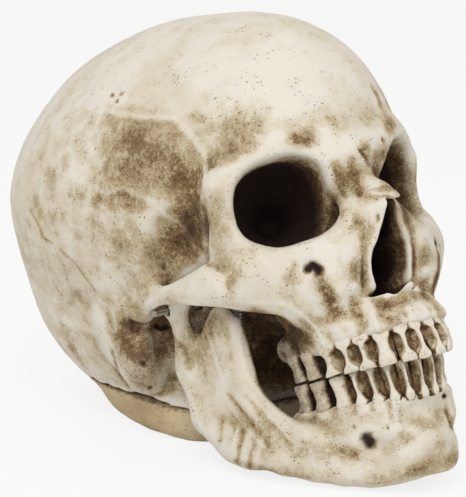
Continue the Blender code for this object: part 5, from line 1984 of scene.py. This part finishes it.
@dataclass
class Tooth:
    """One tooth: a pillar towards the cheek, a full back and a worn biting edge."""

    place: ToothPlace
    segments: int = 28
    levels: int = 15
    root: float = 2.5
    root_taper: float = 0.25
    caps: tuple[float, ...] = (0.86, 0.62, 0.34)
    canine: int = 2
    last_premolar: int = 4
    overlap: float = 1.08
    back_power: float = 0.8
    front: Span = (-0.25, 0.2)
    rim_radius: float = 0.999
    rim_band: Span = (0.985, 1.0)
    rim_drop: float = 0.35
    bowl: float = 1.1
    cusps: float = 0.25
    leans: tuple[float, ...] = (4.6, 4.4, 3.8, 3.0, 2.2, 1.2, 0.5, 0.0)
    sets: tuple[float, ...] = (2.0, 2.0, 1.4, 0.4, 0.0, 0.0, 0.0, 0.0)
    overbites: tuple[float, ...] = (0.8, 0.8, 0.6, 0.3, 0.1, 0.0, 0.0, 0.0)
    closings: tuple[float, ...] = (0.15, 0.15, 0.2, 0.3, 0.35, 0.4, 0.3, 0.2)
    flank_facing: Span = (0.1, 0.75)
    hollow_share: float = 0.9
    hollow_band: Span = (0.0, 0.14)
    crest_share: float = 0.85
    crest_band: Span = (-0.1, 0.15)
    back_band: Span = (0.0, 2.0)
    wash: float = 0.12
    flank_shade_wash: float = 0.35
    gap_shade_wash: float = 0.85
    gap_shade_dark: float = 0.4
    back_shade_dark: float = 0.12
    molar_shade_dark: Span = (0.45, 0.08)
    molar_shade_wash: Span = (0.26, 0.4)
    mottle_dark: float = 0.3
    molar_worn: float = 0.45
    worn: float = 0.6

    @property
    def is_molar(self) -> bool:
        """Whether it has a broad chewing face."""
        return self.place.index > self.last_premolar

    @property
    def is_upper(self) -> bool:
        """Whether it stands in the upper row."""
        return self.place.row is Row.UPPER

    @staticmethod
    def grow(bm: bmesh.types.BMesh, ring: list[bmesh.types.BMEdge]) -> tuple[list, list]:
        """Extrudes a ring of edges.

        Args:
            bm: The mesh.
            ring: The edges.

        Returns:
            The new points, and the new ring's edges.
        """
        made = bmesh.ops.extrude_edge_only(bm, edges=ring)["geom"]
        verts = [item for item in made if isinstance(item, bmesh.types.BMVert)]
        return verts, [item for item in made if isinstance(item, bmesh.types.BMEdge)
                       and all(vert in verts for vert in item.verts)]

    def blank(self) -> bmesh.types.BMesh:
        """Makes a capped tube, whose points hold radius, direction and level.

        Returns:
            The blank.
        """
        bm = bmesh.new()
        bmesh.ops.create_circle(bm, segments=self.segments, radius=1.0)
        ring = bm.edges[:]
        for _ in range(1, self.levels):
            verts, ring = self.grow(bm, ring)
            bmesh.ops.translate(bm, verts=verts, vec=(0.0, 0.0, 1.0))
        radius = 1.0
        for cap in self.caps:
            verts, ring = self.grow(bm, ring)
            bmesh.ops.scale(bm, verts=verts, vec=(cap / radius, cap / radius, 1.0))
            radius = cap
        verts, _ = self.grow(bm, ring)
        bmesh.ops.pointmerge(bm, verts=verts, merge_co=(0.0, 0.0, self.levels - 1.0))
        close_holes(bm)
        return bm

    def pillar(self, share: float | np.ndarray) -> np.ndarray:
        """Width of the front pillar at shares of the crown's height.

        Args:
            share: 0 at the gum, 1 at the edge.

        Returns:
            Widths as shares of the full width.
        """
        if self.is_molar:
            first = self.is_upper and self.place.index == self.last_premolar + 1
            return np.interp(share, *(CARVED_MOLAR if first else PLAIN_MOLAR))
        if not self.is_upper:
            return np.interp(share, *LOWER_FRONT)
        return np.interp(share, *(UPPER_CANINE if self.place.index == self.canine else UPPER_FRONT))

    def depth(self, share: float) -> float:
        """Depth from cheek to tongue at a share of the crown's height.

        Args:
            share: 0 at the gum, 1 at the edge.

        Returns:
            The depth in millimetres.
        """
        knots = (6.6, 6.6, 5.4, 2.6)
        if self.is_molar:
            knots = (8.2, 9.0, 9.4, 8.2)
        elif self.place.index > self.canine:
            knots = (7.6, 8.0, 7.6, 5.8)
        return float(np.interp(share, DEPTH_SHARES, knots))

    def sink(self, radius: float, angle: float, level: float) -> float:
        """How far the biting face lies below the edge.

        Args:
            radius: 0 in the tooth's middle, 1 on its flank.
            angle: Direction from the middle.
            level: 0 at the root, 1 at the edge.

        Returns:
            Millimetres.
        """
        if radius >= self.rim_radius:
            return self.rim_drop * float(smooth_step(level, *self.rim_band))
        if self.is_molar:
            return max(0.0, self.bowl * (1 - radius) - self.cusps * math.cos(4 * angle + 0.6) * radius)
        return -self.rim_drop * (1 - radius)

    def shape(self, bm: bmesh.types.BMesh) -> None:
        """Moves the blank's points to the tooth's form.

        Args:
            bm: The blank.
        """
        place, index = self.place, self.place.index
        length = abs(place.edge - place.gum)
        toward = 1.0 if place.edge > place.gum else -1.0
        squareness = UPPER_SQUARE if self.is_upper and index <= self.last_premolar + 1 else PLAIN_SQUARE
        collars = UPPER_COLLAR if self.is_upper else LOWER_COLLAR
        for vert in bm.verts:
            radius = math.hypot(vert.co.x, vert.co.y)
            angle = math.atan2(vert.co.y, vert.co.x)
            level = vert.co.z / (self.levels - 1)
            climb = -self.root + level * (length + self.root)
            share = max(0.0, climb / length)
            across, outward = math.cos(angle), math.sin(angle)
            wide = place.width * self.overlap / 2
            if climb < 0:
                wide *= 1 + climb / self.root * self.root_taper
            power = float(np.interp(share, *squareness))
            along = math.copysign(abs(across) ** power, across) * wide
            narrow = 1 - (1 - float(self.pillar(share))) * float(smooth_step(outward, *self.front))
            deep = math.copysign(abs(outward) ** self.back_power, outward) * self.depth(share) / 2
            if outward > 0:
                collar = float(np.interp(share, *collars)) * (1 + min(0.0, climb) / self.root)
                deep += abs(outward) ** power * collar
            grown = climb + share * (self.closings[index] + self.overbites[index])
            height = place.gum + toward * (grown - self.sink(radius, angle, level))
            lean = -self.sets[index] * float(np.interp(share, *SET_BACK))
            if not self.is_upper:
                lean = self.leans[index] * share
            vert.co = place.spot(along * narrow * radius, deep * radius + lean, height)

    def paint(self, work: Carving) -> None:
        """Paints shade on the tooth's flanks, in the gaps beside it, on its back and more on the rear molars, over
        an even brown wash and mottle, and leaves its crest bright.

        Args:
            work: The tooth's surface.
        """
        place, index = self.place, self.place.index
        points = upright(work.points)
        plan = points[:, :2] - place.centre_at(points[:, 2])
        along = np.abs(plan @ place.run) / (place.width / 2)
        outward = plan @ place.out
        share = np.abs(points[:, 2] - place.gum) / abs(place.edge - place.gum)
        facing = work.normals @ np.array(Matrix.Rotation(-LEAN, 3, "X") @ Vector((*place.out, 0.0)))
        # Painted shade: flanks that turn from the cheek, the gaps between crowns, the back and the rear molars are
        # darkened.
        flank = 1 - smooth_step(facing, *self.flank_facing)
        mottle = layered(work.points, (1.3, 21 + index, 0.16), (4, 5, 0.15))
        hollow = smooth_step(along - self.pillar(share) * self.hollow_share, *self.hollow_band)
        crest = (1 - flank) * smooth_step(self.pillar(share) * self.crest_share - along, *self.crest_band)
        back = smooth_step(-outward, *self.back_band)
        wash = self.wash + flank * self.flank_shade_wash + hollow * self.gap_shade_wash + mottle
        dark = flank * hollow * self.gap_shade_dark + back * self.back_shade_dark
        if index > self.last_premolar + 1:
            dark += flank * self.molar_shade_dark[0] + self.molar_shade_dark[1] * (index - self.last_premolar - 1)
            wash += self.molar_shade_wash[0] * (index - self.last_premolar) + flank * self.molar_shade_wash[1]
        work.paint[WashAndShade.BROWN] += wash
        work.paint[WashAndShade.DARK] += dark + mottle * self.mottle_dark
        work.paint[WashAndShade.WORN] += crest * (self.molar_worn if self.is_molar else self.worn)

    def make(self, view: Viewpoint, finish: bpy.types.Material) -> bpy.types.Object:
        """Makes the tooth in its solid's place.

        Args:
            view: The viewpoint.
            finish: Its material.

        Returns:
            The tooth.
        """
        bm = self.blank()
        self.shape(bm)
        face_out(bm)
        piece = link_mesh(f"{self.place.node}_crown", bm)
        subdivide(piece, 1)
        bake(piece)
        work = Carving(piece, view)
        index = self.place.index
        uneven = layered(work.points, (2.4, 40 + index, 0.16), (1.1, 60 + index, 0.07))
        work.points += work.normals * (uneven * MM)[:, None]
        work.put_back()
        self.paint(work)
        work.save_paint()
        upper = self.is_upper
        dress(piece, finish, "upper_enamel" if upper else "lower_enamel")
        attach(piece, "skull" if upper else "jaw")
        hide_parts(self.place.node)
        return piece


@dataclass
class Spring:
    """A coil spring that holds the jaw closed."""

    side: Side
    wire: float = 0.4 * MM
    turns: int = 13
    steps: int = 22
    wire_segments: int = 10
    eye_share: float = 0.16
    eye_steps: int = 18
    eye_turn: float = -math.pi * 0.96
    neck_turn: float = 0.001
    merge: float = 0.001 * MM

    @staticmethod
    def rim(bm: bmesh.types.BMesh, end: float, beyond: float) -> list[bmesh.types.BMEdge]:
        """Finds the open rim of the wire at one end.

        Args:
            bm: The mesh.
            end: 1 for the upper end, -1 for the lower.
            beyond: How far from the middle it has to be.

        Returns:
            Its edges.
        """
        return [edge for edge in open_edges(bm) if edge.verts[0].co.z * end > beyond]

    def make(self, frame: dict, finish: bpy.types.Material) -> bpy.types.Object:
        """Winds the spring between its two screws.

        Args:
            frame: The loaded frame; not used.
            finish: Its material.

        Returns:
            The spring.
        """
        node = f"{self.side.name.lower()}_jaw_spring"
        low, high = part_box(node)
        radius = (high.x - low.x) / 2 - self.wire
        middle = (low + high) / 2
        eye = (high.z - low.z) * self.eye_share
        body = high.z - low.z - 2 * eye
        bm = bmesh.new()
        turn = Matrix.Translation((radius, 0.0, -body / 2)) @ Matrix.Rotation(math.pi / 2, 4, "X")
        bmesh.ops.create_circle(bm, segments=self.wire_segments, radius=self.wire, matrix=turn)
        count = self.turns * self.steps
        bmesh.ops.spin(bm, geom=bm.edges[:], cent=(0.0, 0.0, 0.0), axis=(0.0, 0.0, 1.0), steps=count,
                       angle=math.tau * self.turns, dvec=(0.0, 0.0, body / count))
        for end in (-1.0, 1.0):
            bmesh.ops.spin(bm, geom=self.rim(bm, end, body * 0.4), cent=(radius, 0.0, end * (body / 2 + eye / 2)),
                           axis=(0.0, 0.0, end), steps=1, angle=self.neck_turn)
            bmesh.ops.spin(bm, geom=self.rim(bm, end, body * 0.4), cent=(0.0, 0.0, end * body / 2),
                           axis=(0.0, end, 0.0), steps=self.eye_steps, angle=self.eye_turn)
        close_holes(bm)
        bmesh.ops.remove_doubles(bm, verts=bm.verts[:], dist=self.merge)
        bmesh.ops.recalc_face_normals(bm, faces=bm.faces[:])
        bmesh.ops.translate(bm, verts=bm.verts[:], vec=middle)
        piece = link_mesh(f"{node}_coil", bm)
        dress(piece, finish, "spring_steel")
        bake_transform(piece)
        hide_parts(node)
        return piece


def main() -> None:
    """Builds the dressed skull over its frame."""
    logging.basicConfig(level=logging.INFO)
    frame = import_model()
    view = Viewpoint()
    view.make()
    Studio().make()
    bpy.context.scene.view_settings.view_transform = "Standard"
    bone = BoneFinish("aged_and_shaded_bone").make()
    enamel = BoneFinish("stained_enamel", pale=srgb(234, 228, 215), cream=srgb(222, 212, 190),
                        roughness=0.5).make()
    steel = SteelFinish("drawn_steel").make()
    tan = BaseFinish("tan_resin").make()
    rows = {row: read_teeth(frame, row) for row in Row}
    Cranium(view, teeth=rows[Row.UPPER]).make(frame, bone)
    Mandible(view, teeth=rows[Row.LOWER]).make(frame, bone)
    BasePanel(view).make(frame, tan)
    for row, places in rows.items():
        for place in places:
            Tooth(place).make(view, enamel)
        LOG.info("%s row: %d teeth", row.name.lower(), len(places))
    for side in Side:
        Spring(side).make(frame, steel)
        name = side.name.lower()
        for node in (f"{name}_jaw_pin", f"{name}_upper_spring_screw", f"{name}_lower_spring_screw"):
            solid = frame["nodes"][node]
            solid.data.materials.clear()
            solid.data.materials.append(steel)
        LOG.info("%s spring, pin and screws", name)


if __name__ == "__main__":
    main()
